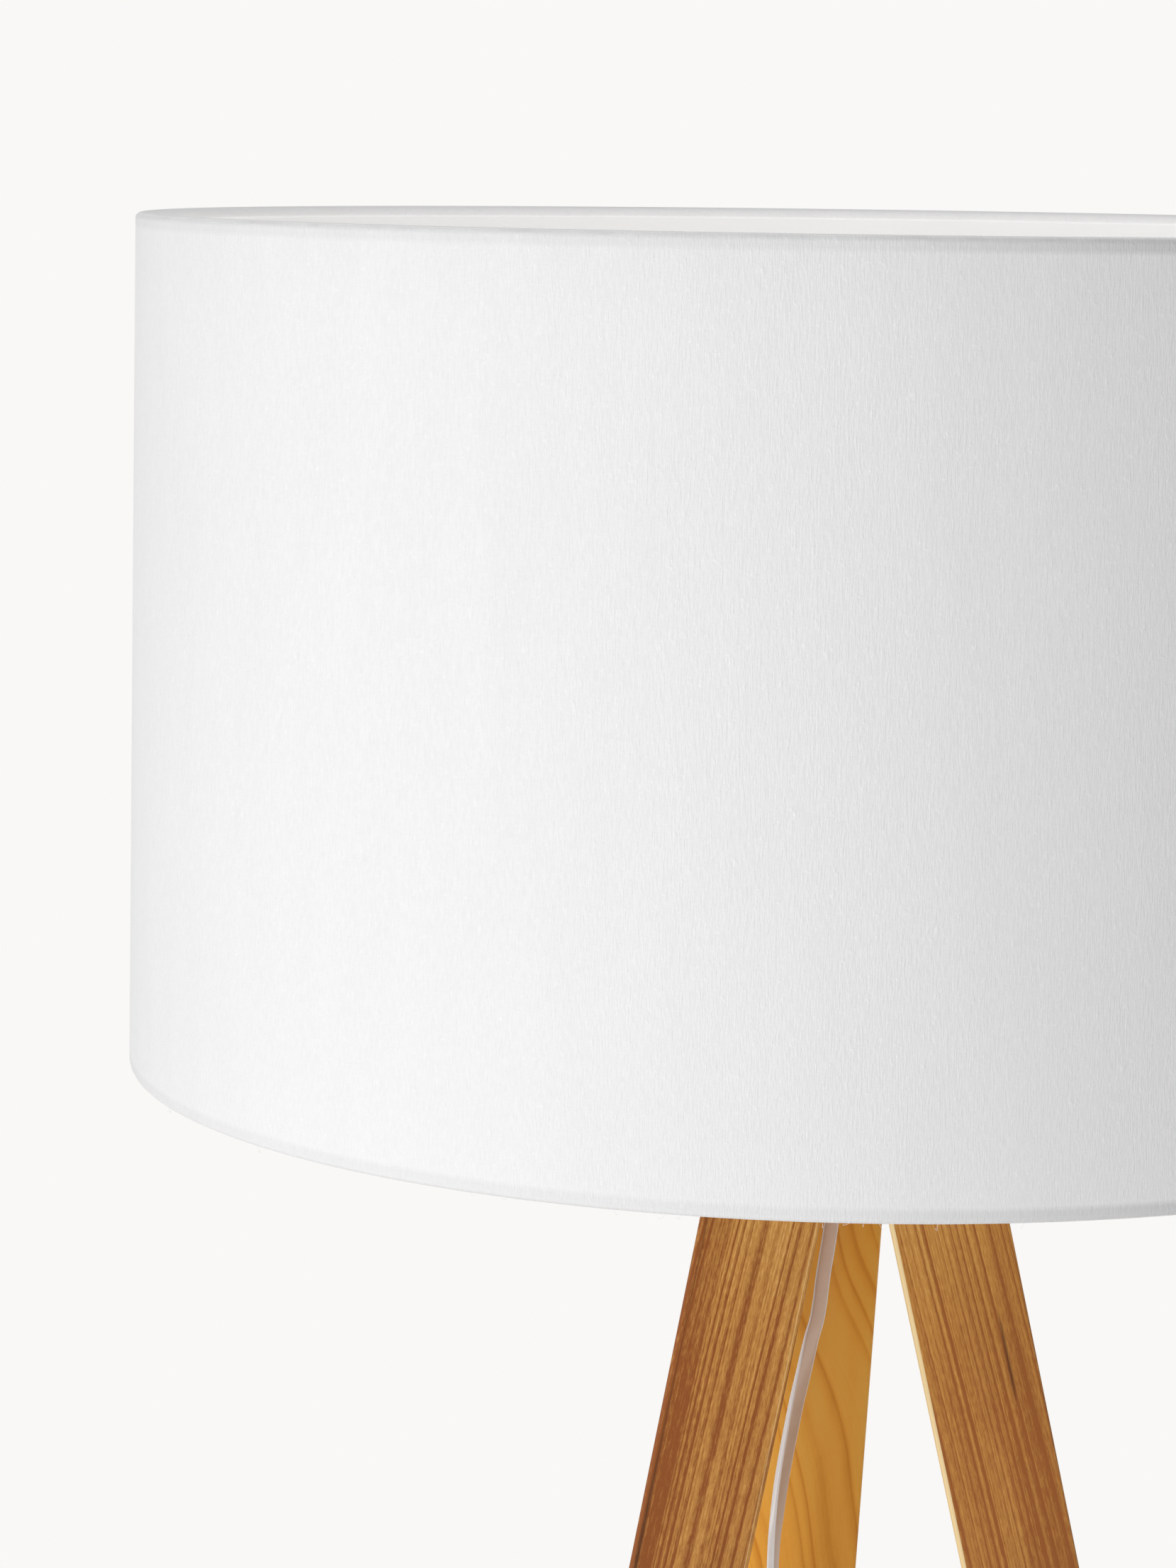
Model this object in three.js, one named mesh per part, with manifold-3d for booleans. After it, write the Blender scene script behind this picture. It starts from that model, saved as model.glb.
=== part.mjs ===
// Tripod floor lamp: a fabric drum shade carried by three wooden legs of triangular section.
// Millimetres, +Z up, the floor at z = 0. The rear leg points to +Y and the front of the lamp faces -Y.
// The origin is the middle of the bounding box on the floor, so the lamp's own axis stands at AXIS_Y.

import * as THREE from 'three';
import { mergeVertices } from 'three/addons/utils/BufferGeometryUtils.js';
import Module from 'manifold-3d';

const wasm = await Module();
wasm.setup();

// Driving dimensions
const TOTAL_HEIGHT = 1500;
const SHADE_HEIGHT = 293;
const SHADE_TOP_RADIUS = 247.5;
const SHADE_BOTTOM_RADIUS = 250;
const LEG_APEX_ABOVE_RIM = 105.6; // where the three leg centre lines would meet, above the shade's lower rim
const LEG_SPREAD = 0.2437; // outward travel of a leg for each millimetre of height
const LEG_SIDE_TOP = 45.4; // side of the triangular section
const LEG_SIDE_FOOT = 34.6;
const ARRIS_SHARE = 0.03; // rounding radius of a leg's arrises, as a share of the side
const CORD_WIDTH = 5.2;
const CORD_THICKNESS = 3.1;
const GAP = 0.3; // left between pieces that touch

// Facets round a turned piece
const SHADE_FACETS = 36;
const HOLDER_FACETS = 16;
const SMALL_FACETS = 10;

// Levels and places worked out from them
const RIM_Z = TOTAL_HEIGHT - SHADE_HEIGHT;
const APEX_Z = RIM_Z + LEG_APEX_ABOVE_RIM;
const LEG_TOP_Z = RIM_Z + 25;
const PAD_THICKNESS = 2.7;
const LEG_FOOT_Z = PAD_THICKNESS + GAP;
const LEG_AZIMUTHS = { left: -150, right: -30, rear: 90 };

const legSide = (z) => THREE.MathUtils.mapLinear(z, LEG_FOOT_Z, LEG_TOP_Z, LEG_SIDE_FOOT, LEG_SIDE_TOP);
const legRadius = (z) => (APEX_Z - z) * LEG_SPREAD;
const legInnerFace = (z) => legRadius(z) - legSide(z) / (2 * Math.sqrt(3));
const legOuterArris = (z) => legRadius(z) + legSide(z) * (1 / Math.sqrt(3) - ARRIS_SHARE);
const AXIS_Y = (SHADE_BOTTOM_RADIUS - legOuterArris(LEG_FOOT_Z)) / 2;

// Materials
const finish = (color, roughness, metalness = 0) =>
  new THREE.MeshStandardMaterial({ color, roughness, metalness, flatShading: true });
const WOOD = finish('#a8713f', 0.55);
const WOOD_REAR = finish('#bb8033', 0.5);
const FABRIC = finish('#e8e7e4', 0.9);
const LINING = finish('#efeeea', 0.5);
const STEEL = finish('#b9bcc0', 0.35, 1);
const BRASS = finish('#c6a24e', 0.3, 1);
const WHITE_PLASTIC = finish('#f1f0ec', 0.35);
const OPAL = finish('#f6f4ee', 0.25);
const CORD_PLASTIC = finish('#eeedea', 0.4);
const FELT = finish('#4c4a47', 0.95);

// Solids: every geometry passes through a manifold, which welds it, and a piece can be cut or joined there.
function toManifold(geometry) {
  const bare = geometry.clone();
  bare.deleteAttribute('normal');
  bare.deleteAttribute('uv');
  const welded = mergeVertices(bare, 1e-4);
  const position = welded.getAttribute('position');
  const corner = (i) => new THREE.Vector3().fromBufferAttribute(position, i);
  const triangles = [];
  let volume = 0;
  for (let i = 0; i < welded.index.count; i += 3) {
    const [a, b, c] = [0, 1, 2].map((k) => welded.index.getX(i + k));
    if (a === b || b === c || c === a) continue;
    triangles.push(a, b, c);
    volume += corner(a).dot(corner(b).cross(corner(c)));
  }
  if (volume < 0) triangles.reverse();
  const vertProperties = new Float32Array(position.array);
  const triVerts = new Uint32Array(triangles);
  return new wasm.Manifold(new wasm.Mesh({ numProp: 3, vertProperties, triVerts }));
}

function fromManifold(manifold) {
  const mesh = manifold.getMesh();
  const geometry = new THREE.BufferGeometry();
  geometry.setAttribute('position', new THREE.BufferAttribute(mesh.vertProperties, 3));
  geometry.setIndex(new THREE.BufferAttribute(mesh.triVerts, 1));
  geometry.computeVertexNormals();
  return geometry;
}

const solid = (geometry) => fromManifold(toManifold(geometry));

function cut(geometry, ...tools) {
  const result = tools.reduce((rest, tool) => rest.subtract(toManifold(tool)), toManifold(geometry));
  return fromManifold(result);
}

function join(geometry, ...others) {
  const result = others.reduce((whole, other) => whole.add(toManifold(other)), toManifold(geometry));
  return fromManifold(result);
}

const keep = (geometry, tool) => fromManifold(toManifold(geometry).intersect(toManifold(tool)));

// A body turned about Z from [radius, z] points. The outline starts and ends on the axis, or is closed here.
function turned(outline, segments = SMALL_FACETS) {
  const points = outline.map(([radius, z]) => new THREE.Vector2(radius, z));
  if (outline[0][0] > 0) points.push(points[0].clone());
  return solid(new THREE.LatheGeometry(points, segments).rotateX(Math.PI / 2));
}

const washerRing = (inner, outer, low, high, segments = 12) =>
  turned([[inner, low], [outer, low], [outer, high], [inner, high]], segments);

function box(width, depth, height, x, y, z) {
  return new THREE.BoxGeometry(width, depth, height).translate(x, y, z);
}

function rod(radius, low, high, segments = SMALL_FACETS) {
  return new THREE.CylinderGeometry(radius, radius, high - low, segments)
    .rotateX(Math.PI / 2)
    .translate(0, 0, (low + high) / 2);
}

function polygon(radius, sides, startAngle = 0) {
  const corner = (k) => {
    const angle = startAngle + (2 * Math.PI * k) / sides;
    return new THREE.Vector2(radius * Math.cos(angle), radius * Math.sin(angle));
  };
  return new THREE.Shape(Array.from({ length: sides }, (_, k) => corner(k)));
}

const prism = (shape, low, high, curveSegments = 3) =>
  new THREE.ExtrudeGeometry(shape, { depth: high - low, bevelEnabled: false, curveSegments }).translate(0, 0, low);

function swept(section, points, steps) {
  const extrudePath = new THREE.CatmullRomCurve3(points, false, 'centripetal');
  return solid(new THREE.ExtrudeGeometry(section, { extrudePath, steps, bevelEnabled: false }));
}

// A pan-head screw with a hexagon socket. Its head rests on z = 0 and its shank points down.
function screw(headRadius, headHeight, shankRadius, shankLength) {
  const tip = shankRadius * 1.5;
  const body = turned([
    [0, -shankLength],
    [shankRadius, tip - shankLength],
    [shankRadius, 0],
    [headRadius, 0],
    [headRadius, headHeight * 0.6],
    [headRadius * 0.75, headHeight],
    [0, headHeight],
  ]);
  return cut(body, prism(polygon(headRadius * 0.45, 6), headHeight * 0.45, headHeight + 1));
}

function hexNut(acrossFlats, hole, low, high) {
  return cut(prism(polygon(acrossFlats / Math.sqrt(3), 6), low, high), rod(hole, low - 1, high + 1));
}

const lamp = new THREE.Group();
lamp.position.set(0, AXIS_Y, 0);

function add(name, geometry, material, parent = lamp) {
  const mesh = new THREE.Mesh(geometry, material);
  mesh.name = name;
  parent.add(mesh);
}

function turnedGroup(azimuthDegrees) {
  const group = new THREE.Group();
  group.rotation.z = THREE.MathUtils.degToRad(azimuthDegrees);
  lamp.add(group);
  return group;
}

// Legs: an equilateral section with its flat side inwards and one arris outwards, leaning out and tapering.
function roundedTriangle(side) {
  const round = side * ARRIS_SHARE;
  const reach = side / Math.sqrt(3) - 2 * round;
  const shape = new THREE.Shape();
  for (const corner of [0, 1, 2]) {
    const angle = (corner * 2 * Math.PI) / 3;
    const sweep = Math.PI / 3;
    shape.absarc(reach * Math.cos(angle), reach * Math.sin(angle), round, angle - sweep, angle + sweep, false);
  }
  shape.closePath();
  return shape;
}

function legBlank() {
  const geometry = prism(roundedTriangle(1), 0, 1);
  const position = geometry.getAttribute('position');
  for (let i = 0; i < position.count; i += 1) {
    const z = THREE.MathUtils.lerp(LEG_FOOT_Z, LEG_TOP_Z, position.getZ(i));
    const side = legSide(z);
    position.setXYZ(i, legRadius(z) + side * position.getX(i), side * position.getY(i), z);
  }
  return geometry;
}

// The third of the plan that one leg may fill. Its two straight sides are the mitres between the legs.
function mitreWedge() {
  const start = GAP / 2 / Math.sin(Math.PI / 3);
  const far = 600;
  const half = (far - start) * Math.tan(Math.PI / 3);
  const plan = [new THREE.Vector2(start, 0), new THREE.Vector2(far, -half), new THREE.Vector2(far, half)];
  return prism(new THREE.Shape(plan), -1, LEG_TOP_Z + 1);
}

const PLATE_LOW = LEG_TOP_Z + GAP;
const PLATE_HIGH = PLATE_LOW + 3;
const PLATE_SCREW_RADIUS = 22; // distance of the plate screws from the lamp's axis
const PLATE_SHANK = { radius: 2.2, length: 26 };
const LEG_SCREW_Z = RIM_Z - 5;
const LEG_SCREW_SEAT = 41; // distance of the leg screw's seat from the lamp's axis
const LEG_SCREW_TIP = 6.4;
const LEG_SHANK_RADIUS = 2;
const LEG_HEAD = { radius: 4.6, height: 3 };

const alongRadius = (geometry, radius, z) => geometry.rotateY(Math.PI / 2).translate(radius, 0, z);

function buildLegs() {
  const counterbore = alongRadius(rod(LEG_HEAD.radius + 1, 0, 30), LEG_SCREW_SEAT - GAP, LEG_SCREW_Z);
  const sidePilot = alongRadius(rod(LEG_SHANK_RADIUS + GAP, -50, 1), LEG_SCREW_SEAT, LEG_SCREW_Z);
  const topPilot = rod(PLATE_SHANK.radius + GAP, PLATE_HIGH - PLATE_SHANK.length - 1, LEG_TOP_Z + 1)
    .translate(PLATE_SCREW_RADIUS, 0, 0);
  const leg = cut(keep(legBlank(), mitreWedge()), counterbore, sidePilot, topPilot);
  const legScrew = screw(LEG_HEAD.radius, LEG_HEAD.height, LEG_SHANK_RADIUS, LEG_SCREW_SEAT - LEG_SCREW_TIP);
  const plateScrew = screw(4.5, 3.2, PLATE_SHANK.radius, PLATE_SHANK.length);
  const pad = prism(roundedTriangle(LEG_SIDE_FOOT * 0.92), 0, PAD_THICKNESS);
  for (const [place, azimuth] of Object.entries(LEG_AZIMUTHS)) {
    const group = turnedGroup(azimuth);
    add(`leg_${place}`, leg, place === 'rear' ? WOOD_REAR : WOOD, group);
    add(`foot_pad_${place}`, solid(pad.clone().translate(legRadius(LEG_FOOT_Z), 0, 0)), FELT, group);
    add(`leg_screw_${place}`, alongRadius(legScrew.clone(), LEG_SCREW_SEAT, LEG_SCREW_Z), STEEL, group);
    const lifted = plateScrew.clone().translate(PLATE_SCREW_RADIUS, 0, PLATE_HIGH + GAP);
    add(`plate_screw_${place}`, lifted, STEEL, group);
  }
}

// Hub: a wooden wedge between the legs, a steel plate on top of them, and a threaded tube through both.
const BLOCK_LOW = RIM_Z - 14;
const BLOCK_HIGH = RIM_Z + 21;
const TUBE_RADIUS = 5;
const TUBE_BORE = 3.9;
const GLAND_LOW = RIM_Z - 42;
const LOWER_NUT_LOW = RIM_Z - 21;
const UPPER_NUT_HIGH = PLATE_HIGH + 6.8;
const HOLDER_LOW = UPPER_NUT_HIGH + GAP;

function hubBlock() {
  const geometry = prism(polygon(2, 3, Math.PI), 0, 1); // its flat sides lie 1 from the axis, one towards +X
  const position = geometry.getAttribute('position');
  for (let i = 0; i < position.count; i += 1) {
    const z = THREE.MathUtils.lerp(BLOCK_LOW, BLOCK_HIGH, position.getZ(i));
    const flat = legInnerFace(z) - GAP;
    position.setXYZ(i, flat * position.getX(i), flat * position.getY(i), z);
  }
  const pilot = alongRadius(rod(LEG_SHANK_RADIUS + GAP, -50, 1), LEG_SCREW_SEAT, LEG_SCREW_Z);
  const pilots = [0, 1, 2].map((k) => pilot.clone().rotateZ((k * 2 * Math.PI) / 3));
  const core = keep(geometry, rod(25, BLOCK_LOW - 1, BLOCK_HIGH + 1, 18));
  return cut(core, rod(TUBE_RADIUS + GAP, BLOCK_LOW - 1, BLOCK_HIGH + 1, 12), ...pilots)
    .rotateZ(THREE.MathUtils.degToRad(LEG_AZIMUTHS.rear));
}

function topPlate() {
  const hole = (radius, distance, azimuth) =>
    rod(radius, PLATE_LOW - 1, PLATE_HIGH + 1)
      .translate(distance, 0, 0)
      .rotateZ(THREE.MathUtils.degToRad(azimuth));
  const screwHoles = Object.values(LEG_AZIMUTHS).map((azimuth) =>
    hole(PLATE_SHANK.radius + GAP, PLATE_SCREW_RADIUS, azimuth));
  return cut(washerRing(TUBE_RADIUS + GAP, 40, PLATE_LOW, PLATE_HIGH, 24), ...screwHoles);
}

function cordGland() {
  const tubeHoleTop = GLAND_LOW + 12.5;
  return turned([
    [3.5, GLAND_LOW],
    [4.6, GLAND_LOW],
    [5.2, GLAND_LOW + 7],
    [7.4, GLAND_LOW + 11],
    [7.8, GLAND_LOW + 12],
    [7.8, LOWER_NUT_LOW - GAP],
    [TUBE_RADIUS + GAP, LOWER_NUT_LOW - GAP],
    [TUBE_RADIUS + GAP, tubeHoleTop],
    [3.5, tubeHoleTop],
  ]);
}

function buildHub() {
  add('hub_block', hubBlock(), WOOD);
  add('top_plate', topPlate(), STEEL);
  add('threaded_tube', washerRing(TUBE_BORE, TUBE_RADIUS, GLAND_LOW + 13, HOLDER_LOW + 9), STEEL);
  add('lower_washer', washerRing(TUBE_RADIUS + GAP, 10.5, BLOCK_LOW - 1.8, BLOCK_LOW - GAP), STEEL);
  add('lower_nut', hexNut(14, TUBE_RADIUS + GAP, LOWER_NUT_LOW, BLOCK_LOW - 2.1), STEEL);
  add('upper_washer', washerRing(TUBE_RADIUS + GAP, 10.5, PLATE_HIGH + GAP, PLATE_HIGH + 1.8), STEEL);
  add('upper_nut', hexNut(14, TUBE_RADIUS + GAP, PLATE_HIGH + 2.1, UPPER_NUT_HIGH), STEEL);
  add('cord_gland', cordGland(), WHITE_PLASTIC);
}

// Lampholder, clamp ring and bulb, stacked upwards on the threaded tube.
const HOLDER_RADIUS = 19.75;
const HOLDER_SEAM = HOLDER_LOW + 24;
const FLANGE_HIGH = HOLDER_SEAM + 3;
const FITTER_LOW = FLANGE_HIGH + GAP;
const FITTER_HIGH = FITTER_LOW + 2;
const HOLDER_HIGH = HOLDER_SEAM + 34;
const CONTACT_Z = HOLDER_SEAM + 9;
const SHELL_RADIUS = 13.7;
const BULB_TIP_Z = CONTACT_Z + 4.6;
const BULB_NECK_Z = BULB_TIP_Z + 24;
const BULB_SEAM_Z = BULB_TIP_Z + 60;
const BULB_TOP_Z = BULB_TIP_Z + 109;
const BULB_RADIUS = 30;

function holderCap() {
  return turned([
    [TUBE_RADIUS + GAP, HOLDER_LOW],
    [7.6, HOLDER_LOW],
    [7.8, HOLDER_LOW + 7],
    [17.5, HOLDER_LOW + 12.5],
    [HOLDER_RADIUS, HOLDER_LOW + 16],
    [HOLDER_RADIUS, HOLDER_SEAM - GAP],
    [HOLDER_RADIUS - 1.8, HOLDER_SEAM - GAP],
    [HOLDER_RADIUS - 1.8, HOLDER_LOW + 16.5],
    [16, HOLDER_LOW + 14],
    [7, HOLDER_LOW + 10],
    [TUBE_RADIUS + GAP, HOLDER_LOW + 10],
  ], HOLDER_FACETS);
}

function holderBody() {
  return turned([
    [15.6, HOLDER_SEAM],
    [23.5, HOLDER_SEAM],
    [23.5, FLANGE_HIGH],
    [HOLDER_RADIUS, FLANGE_HIGH],
    [HOLDER_RADIUS, HOLDER_HIGH - 1],
    [HOLDER_RADIUS - 1, HOLDER_HIGH],
    [15.6, HOLDER_HIGH],
  ], HOLDER_FACETS);
}

function sideContact() {
  const outline = [[9, 0], [11.2, 0], [11.2, 4.4], [12.7, 5.2], [12.7, 6], [10.4, 5.2], [10.4, 0.8], [9, 0.8]];
  const shape = new THREE.Shape(outline.map(([x, z]) => new THREE.Vector2(x, z)));
  return solid(prism(shape, -2, 2).rotateX(Math.PI / 2).translate(0, 0, CONTACT_Z));
}

function centreContact() {
  const outline = [[-7, 0], [-1.8, 0], [-0.3, 2.3], [2.5, 3.2], [2.5, 4], [-0.8, 3], [-2.2, 0.8], [-7, 0.8]];
  const shape = new THREE.Shape(outline.map(([x, z]) => new THREE.Vector2(x, z)));
  return solid(prism(shape, -2.5, 2.5).rotateX(Math.PI / 2).translate(0, 0, CONTACT_Z));
}

function bulbCap() {
  const threadLow = BULB_TIP_Z + 7.5;
  const outline = [[0, BULB_TIP_Z], [4, BULB_TIP_Z + 0.3], [5, BULB_TIP_Z + 1.8], [9.5, BULB_TIP_Z + 4.5]];
  for (let turn = 0; turn < 3; turn += 1) {
    const z = threadLow + turn * 4;
    outline.push([12.2, z], [13, z + 1.2], [13, z + 1.8]);
  }
  outline.push([12.2, BULB_NECK_Z - 2], [13, BULB_NECK_Z - 1], [13, BULB_NECK_Z - GAP], [0, BULB_NECK_Z - GAP]);
  return turned(outline, 12);
}

function bulbDiffuser() {
  const outline = [];
  const steps = 4;
  const low = BULB_SEAM_Z + GAP;
  for (const [radius, direction] of [[BULB_RADIUS, 1], [BULB_RADIUS - 1.2, -1]]) {
    for (let i = 0; i <= steps; i += 1) {
      const turn = direction > 0 ? i / steps : 1 - i / steps;
      const angle = (turn * Math.PI) / 2;
      const rise = (BULB_TOP_Z - low - 12) * (radius / BULB_RADIUS);
      outline.push([radius * Math.cos(angle), low + 12 + rise * Math.sin(angle)]);
    }
    const mouth = [radius - 0.4, low];
    if (direction > 0) outline.unshift(mouth);
    else outline.push(mouth);
  }
  outline[steps + 1][0] = 0;
  outline[steps + 2][0] = 0;
  return outline;
}

function buildLampholder() {
  add('lampholder_cap', holderCap(), WHITE_PLASTIC);
  add('lampholder_body', holderBody(), WHITE_PLASTIC);
  add('contact_carrier', turned([
    [0, HOLDER_SEAM + 1], [15.3, HOLDER_SEAM + 1], [15.3, CONTACT_Z - GAP], [0, CONTACT_Z - GAP],
  ]), WHITE_PLASTIC);
  add('thread_shell', washerRing(SHELL_RADIUS, SHELL_RADIUS + 0.6, CONTACT_Z, HOLDER_HIGH - 4), BRASS);
  add('centre_contact', centreContact(), BRASS);
  add('side_contact', sideContact(), BRASS);
  add('clamp_ring', turned([
    [HOLDER_RADIUS + 0.4, FITTER_HIGH + GAP], [28, FITTER_HIGH + GAP], [28, FITTER_HIGH + 2.5],
    [23.5, FITTER_HIGH + 3.5], [23, FITTER_HIGH + 10], [HOLDER_RADIUS + 0.4, FITTER_HIGH + 10],
  ], HOLDER_FACETS), WHITE_PLASTIC);
}

function buildBulb() {
  add('bulb_cap', bulbCap(), STEEL);
  add('bulb_body', turned([
    [0, BULB_NECK_Z], [13.6, BULB_NECK_Z], [14.5, BULB_NECK_Z + 5], [20, BULB_NECK_Z + 17],
    [27, BULB_SEAM_Z - 6], [29.3, BULB_SEAM_Z], [0, BULB_SEAM_Z],
  ], HOLDER_FACETS), WHITE_PLASTIC);
  add('bulb_diffuser', turned(bulbDiffuser(), HOLDER_FACETS), OPAL);
}

// Shade: fabric rolled round a wire at each rim, a lining behind it, and a three-armed fitter on the lower wire.
const FABRIC_THICKNESS = 0.6;
const WIRE_RADIUS = 1.4;
const ROLL_INNER = WIRE_RADIUS + GAP;
const ROLL_OUTER = ROLL_INNER + FABRIC_THICKNESS;
const ROLL_TURN = 1.45 * Math.PI; // how far the edge goes round the wire before it is tucked in behind it
const ROLL_STEPS = 5;
const ARM_AZIMUTHS = [30, 150, 270];
const ARM_RADIUS = 1.9;
const FITTER_OUTER = 29;

// One rim's roll as [radius, z] points round the wire, from the outside of the shade over to its inside.
function rolledEdge(wire, up, radius) {
  return Array.from({ length: ROLL_STEPS + 1 }, (_, i) => {
    const angle = (ROLL_TURN * i) / ROLL_STEPS;
    return [wire[0] + radius * Math.cos(angle), wire[1] + up * radius * Math.sin(angle)];
  });
}

function shadeFabric() {
  const top = [SHADE_TOP_RADIUS - ROLL_OUTER, TOTAL_HEIGHT - ROLL_OUTER];
  const bottom = [SHADE_BOTTOM_RADIUS - ROLL_OUTER, RIM_Z + ROLL_OUTER];
  const outline = [
    ...rolledEdge(bottom, -1, ROLL_OUTER),
    ...rolledEdge(bottom, -1, ROLL_INNER).reverse(),
    ...rolledEdge(top, 1, ROLL_INNER),
    ...rolledEdge(top, 1, ROLL_OUTER).reverse(),
  ];
  const notch = box(4.6, 6, 9, bottom[0] - ROLL_INNER - 1.9, 0, bottom[1] + 1.6);
  const notches = ARM_AZIMUTHS.map((azimuth) => notch.clone().rotateZ(THREE.MathUtils.degToRad(azimuth)));
  return cut(turned(outline, SHADE_FACETS), ...notches);
}

function shadeLining() {
  const low = RIM_Z + ROLL_OUTER + 3;
  const high = TOTAL_HEIGHT - ROLL_OUTER - 3;
  const outer = FABRIC_THICKNESS + GAP;
  return turned([
    [SHADE_BOTTOM_RADIUS - outer - 0.8, low],
    [SHADE_BOTTOM_RADIUS - outer, low],
    [SHADE_TOP_RADIUS - outer, high],
    [SHADE_TOP_RADIUS - outer - 0.8, high],
  ], SHADE_FACETS);
}

function wireRing(radius, z) {
  const corner = (k) => {
    const angle = (k * Math.PI) / 3;
    return [radius + WIRE_RADIUS * Math.cos(angle), z + WIRE_RADIUS * Math.sin(angle)];
  };
  return turned([0, 1, 2, 3, 4, 5].map(corner), SHADE_FACETS);
}

function buildShade() {
  const wireBottom = SHADE_BOTTOM_RADIUS - ROLL_OUTER;
  const fitterZ = (FITTER_LOW + FITTER_HIGH) / 2;
  const armLow = RIM_Z + ROLL_OUTER;
  const armPoints = [
    [wireBottom - WIRE_RADIUS - 3 * GAP, armLow], [228, armLow], [205, armLow + 3], [180, armLow + 9],
    [120, armLow + 32], [70, fitterZ - 12], [45, fitterZ - 3.5], [34, fitterZ], [FITTER_OUTER + 0.4, fitterZ],
  ].map(([radius, z]) => new THREE.Vector3(radius, 0, z));
  add('shade_fabric', shadeFabric(), FABRIC);
  add('shade_lining', shadeLining(), LINING);
  add('top_wire_ring', wireRing(SHADE_TOP_RADIUS - ROLL_OUTER, TOTAL_HEIGHT - ROLL_OUTER), STEEL);
  add('bottom_wire_ring', wireRing(wireBottom, armLow), STEEL);
  add('fitter_ring', washerRing(HOLDER_RADIUS + 0.5, FITTER_OUTER, FITTER_LOW, FITTER_HIGH, HOLDER_FACETS), STEEL);
  ARM_AZIMUTHS.forEach((azimuth, k) => {
    add(`fitter_arm_${k + 1}`, swept(polygon(ARM_RADIUS, 6), armPoints, 10), STEEL, turnedGroup(azimuth));
  });
}

// Cord: down from the gland, along the floor through the switch, into a coil, and over it to the plug.
const SWITCH = { x: -20, y: 110, length: 60, width: 26, seam: 8, height: 19 };
const ENTRY_Z = SWITCH.seam + GAP / 2; // the cord's height where it enters the switch
const FLOOR_CORD_Z = CORD_THICKNESS / 2 + 0.3;
const COIL = { turns: 5.25, outer: 44.5, pitch: 3.95, y: 195, low: 1.1 };
COIL.x = SWITCH.x + COIL.outer;
COIL.inner = COIL.outer - COIL.turns * COIL.pitch;
COIL.high = COIL.low + CORD_WIDTH + 0.1;
const PLUG = { start: 86, relief: 22, length: 36, height: 13.7, width: 35.3, z: 7, y: COIL.y + COIL.inner };

const HANGING_ROUTE = [
  [0, 0, GLAND_LOW - GAP], [0, 0, 1158], [-2.2, 0.4, 1151], [-4, 0.7, 1143], [-4.5, 0.8, 1132],
  [-5.9, 1.1, 1118.6], [-8.6, 1.5, 1105.6], [-11.2, 2, 1092.5], [-13.8, 2.5, 1079.5], [-16.1, 2.9, 1066],
  [-18.1, 3.2, 1053], [-19.5, 3.5, 1040], [-20.5, 3.7, 1027], [-21, 3.7, 1005], [-21, 3.7, 950],
  [-20.6, 3.7, 800], [-20.2, 3.7, 600], [-20, 3.7, 400], [-20, 3.7, 200], [-20, 3.7, 90],
  [-20, 5, 52], [-20, 9, 32], [-20, 17, 16], [-20, 29, 6], [-20, 42, 2.4],
  [-20, 54, FLOOR_CORD_Z], [-20, 65, 5], [-20, 74, ENTRY_Z],
  [-20, SWITCH.y - SWITCH.length / 2 - GAP, ENTRY_Z],
];
const MIDDLE_ROUTE = [
  [-20, SWITCH.y + SWITCH.length / 2 + GAP, ENTRY_Z], [-20, 145, ENTRY_Z], [-20, 156, 5.4],
  [-20, 165, 3.8], [-20, COIL.y - 21.5, 3.8],
];
const CROSSING_Z = COIL.high + GAP + CORD_THICKNESS / 2; // where the inner end passes over the turns
const END_ROUTE = [
  [COIL.x, PLUG.y, CROSSING_Z], [COIL.x + 20, PLUG.y, CROSSING_Z], [COIL.x + 42, PLUG.y, CROSSING_Z],
  [78, PLUG.y, 7.5], [PLUG.start - GAP, PLUG.y, PLUG.z],
];

// The flat cord's section: two half rounds side by side, with its width along the given axis of the sweep.
function cordSection(widthAlongNormal) {
  const round = CORD_THICKNESS / 2;
  const centre = CORD_WIDTH / 2 - round;
  const points = [];
  for (const end of [1, -1]) {
    for (let k = 0; k < 4; k += 1) {
      const angle = (k * Math.PI) / 3 - (end > 0 ? 0 : Math.PI);
      const [thick, wide] = [round * Math.cos(angle), end * centre + round * Math.sin(angle)];
      points.push(widthAlongNormal ? new THREE.Vector2(wide, -thick) : new THREE.Vector2(thick, wide));
    }
  }
  return new THREE.Shape(points);
}

function cordTube(route, steps, widthAlongNormal = false) {
  return swept(cordSection(widthAlongNormal), route.map((point) => new THREE.Vector3(...point)), steps);
}

function coilTie() {
  const middle = (COIL.outer + COIL.inner) / 2;
  const span = COIL.outer - COIL.inner + CORD_THICKNESS + 1.6;
  const height = COIL.high - COIL.low + 0.6;
  const z = (COIL.low + COIL.high) / 2;
  const band = box(span + 1.6, 9, height + 1.6, middle, 0, z);
  return cut(band, box(span, 11, height, middle, 0, z))
    .rotateZ(THREE.MathUtils.degToRad(-60))
    .translate(COIL.x, COIL.y, 0);
}

function buildCord() {
  add('cord_in_tube', solid(rod(CORD_WIDTH / 2, GLAND_LOW, HOLDER_SEAM + 0.7, 8)), CORD_PLASTIC);
  add('cord_hanging', cordTube(HANGING_ROUTE, 64), CORD_PLASTIC);
  add('cord_middle', cordTube(MIDDLE_ROUTE, 6, true), CORD_PLASTIC);
  const half = CORD_THICKNESS / 2 + 0.1;
  const ring = washerRing(COIL.inner - half, COIL.outer + half, COIL.low, COIL.high, 24);
  add('cord_coil', ring.translate(COIL.x, COIL.y, 0), CORD_PLASTIC);
  add('coil_tie', coilTie(), CORD_PLASTIC);
  add('cord_end', cordTube(END_ROUTE, 6), CORD_PLASTIC);
}

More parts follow.
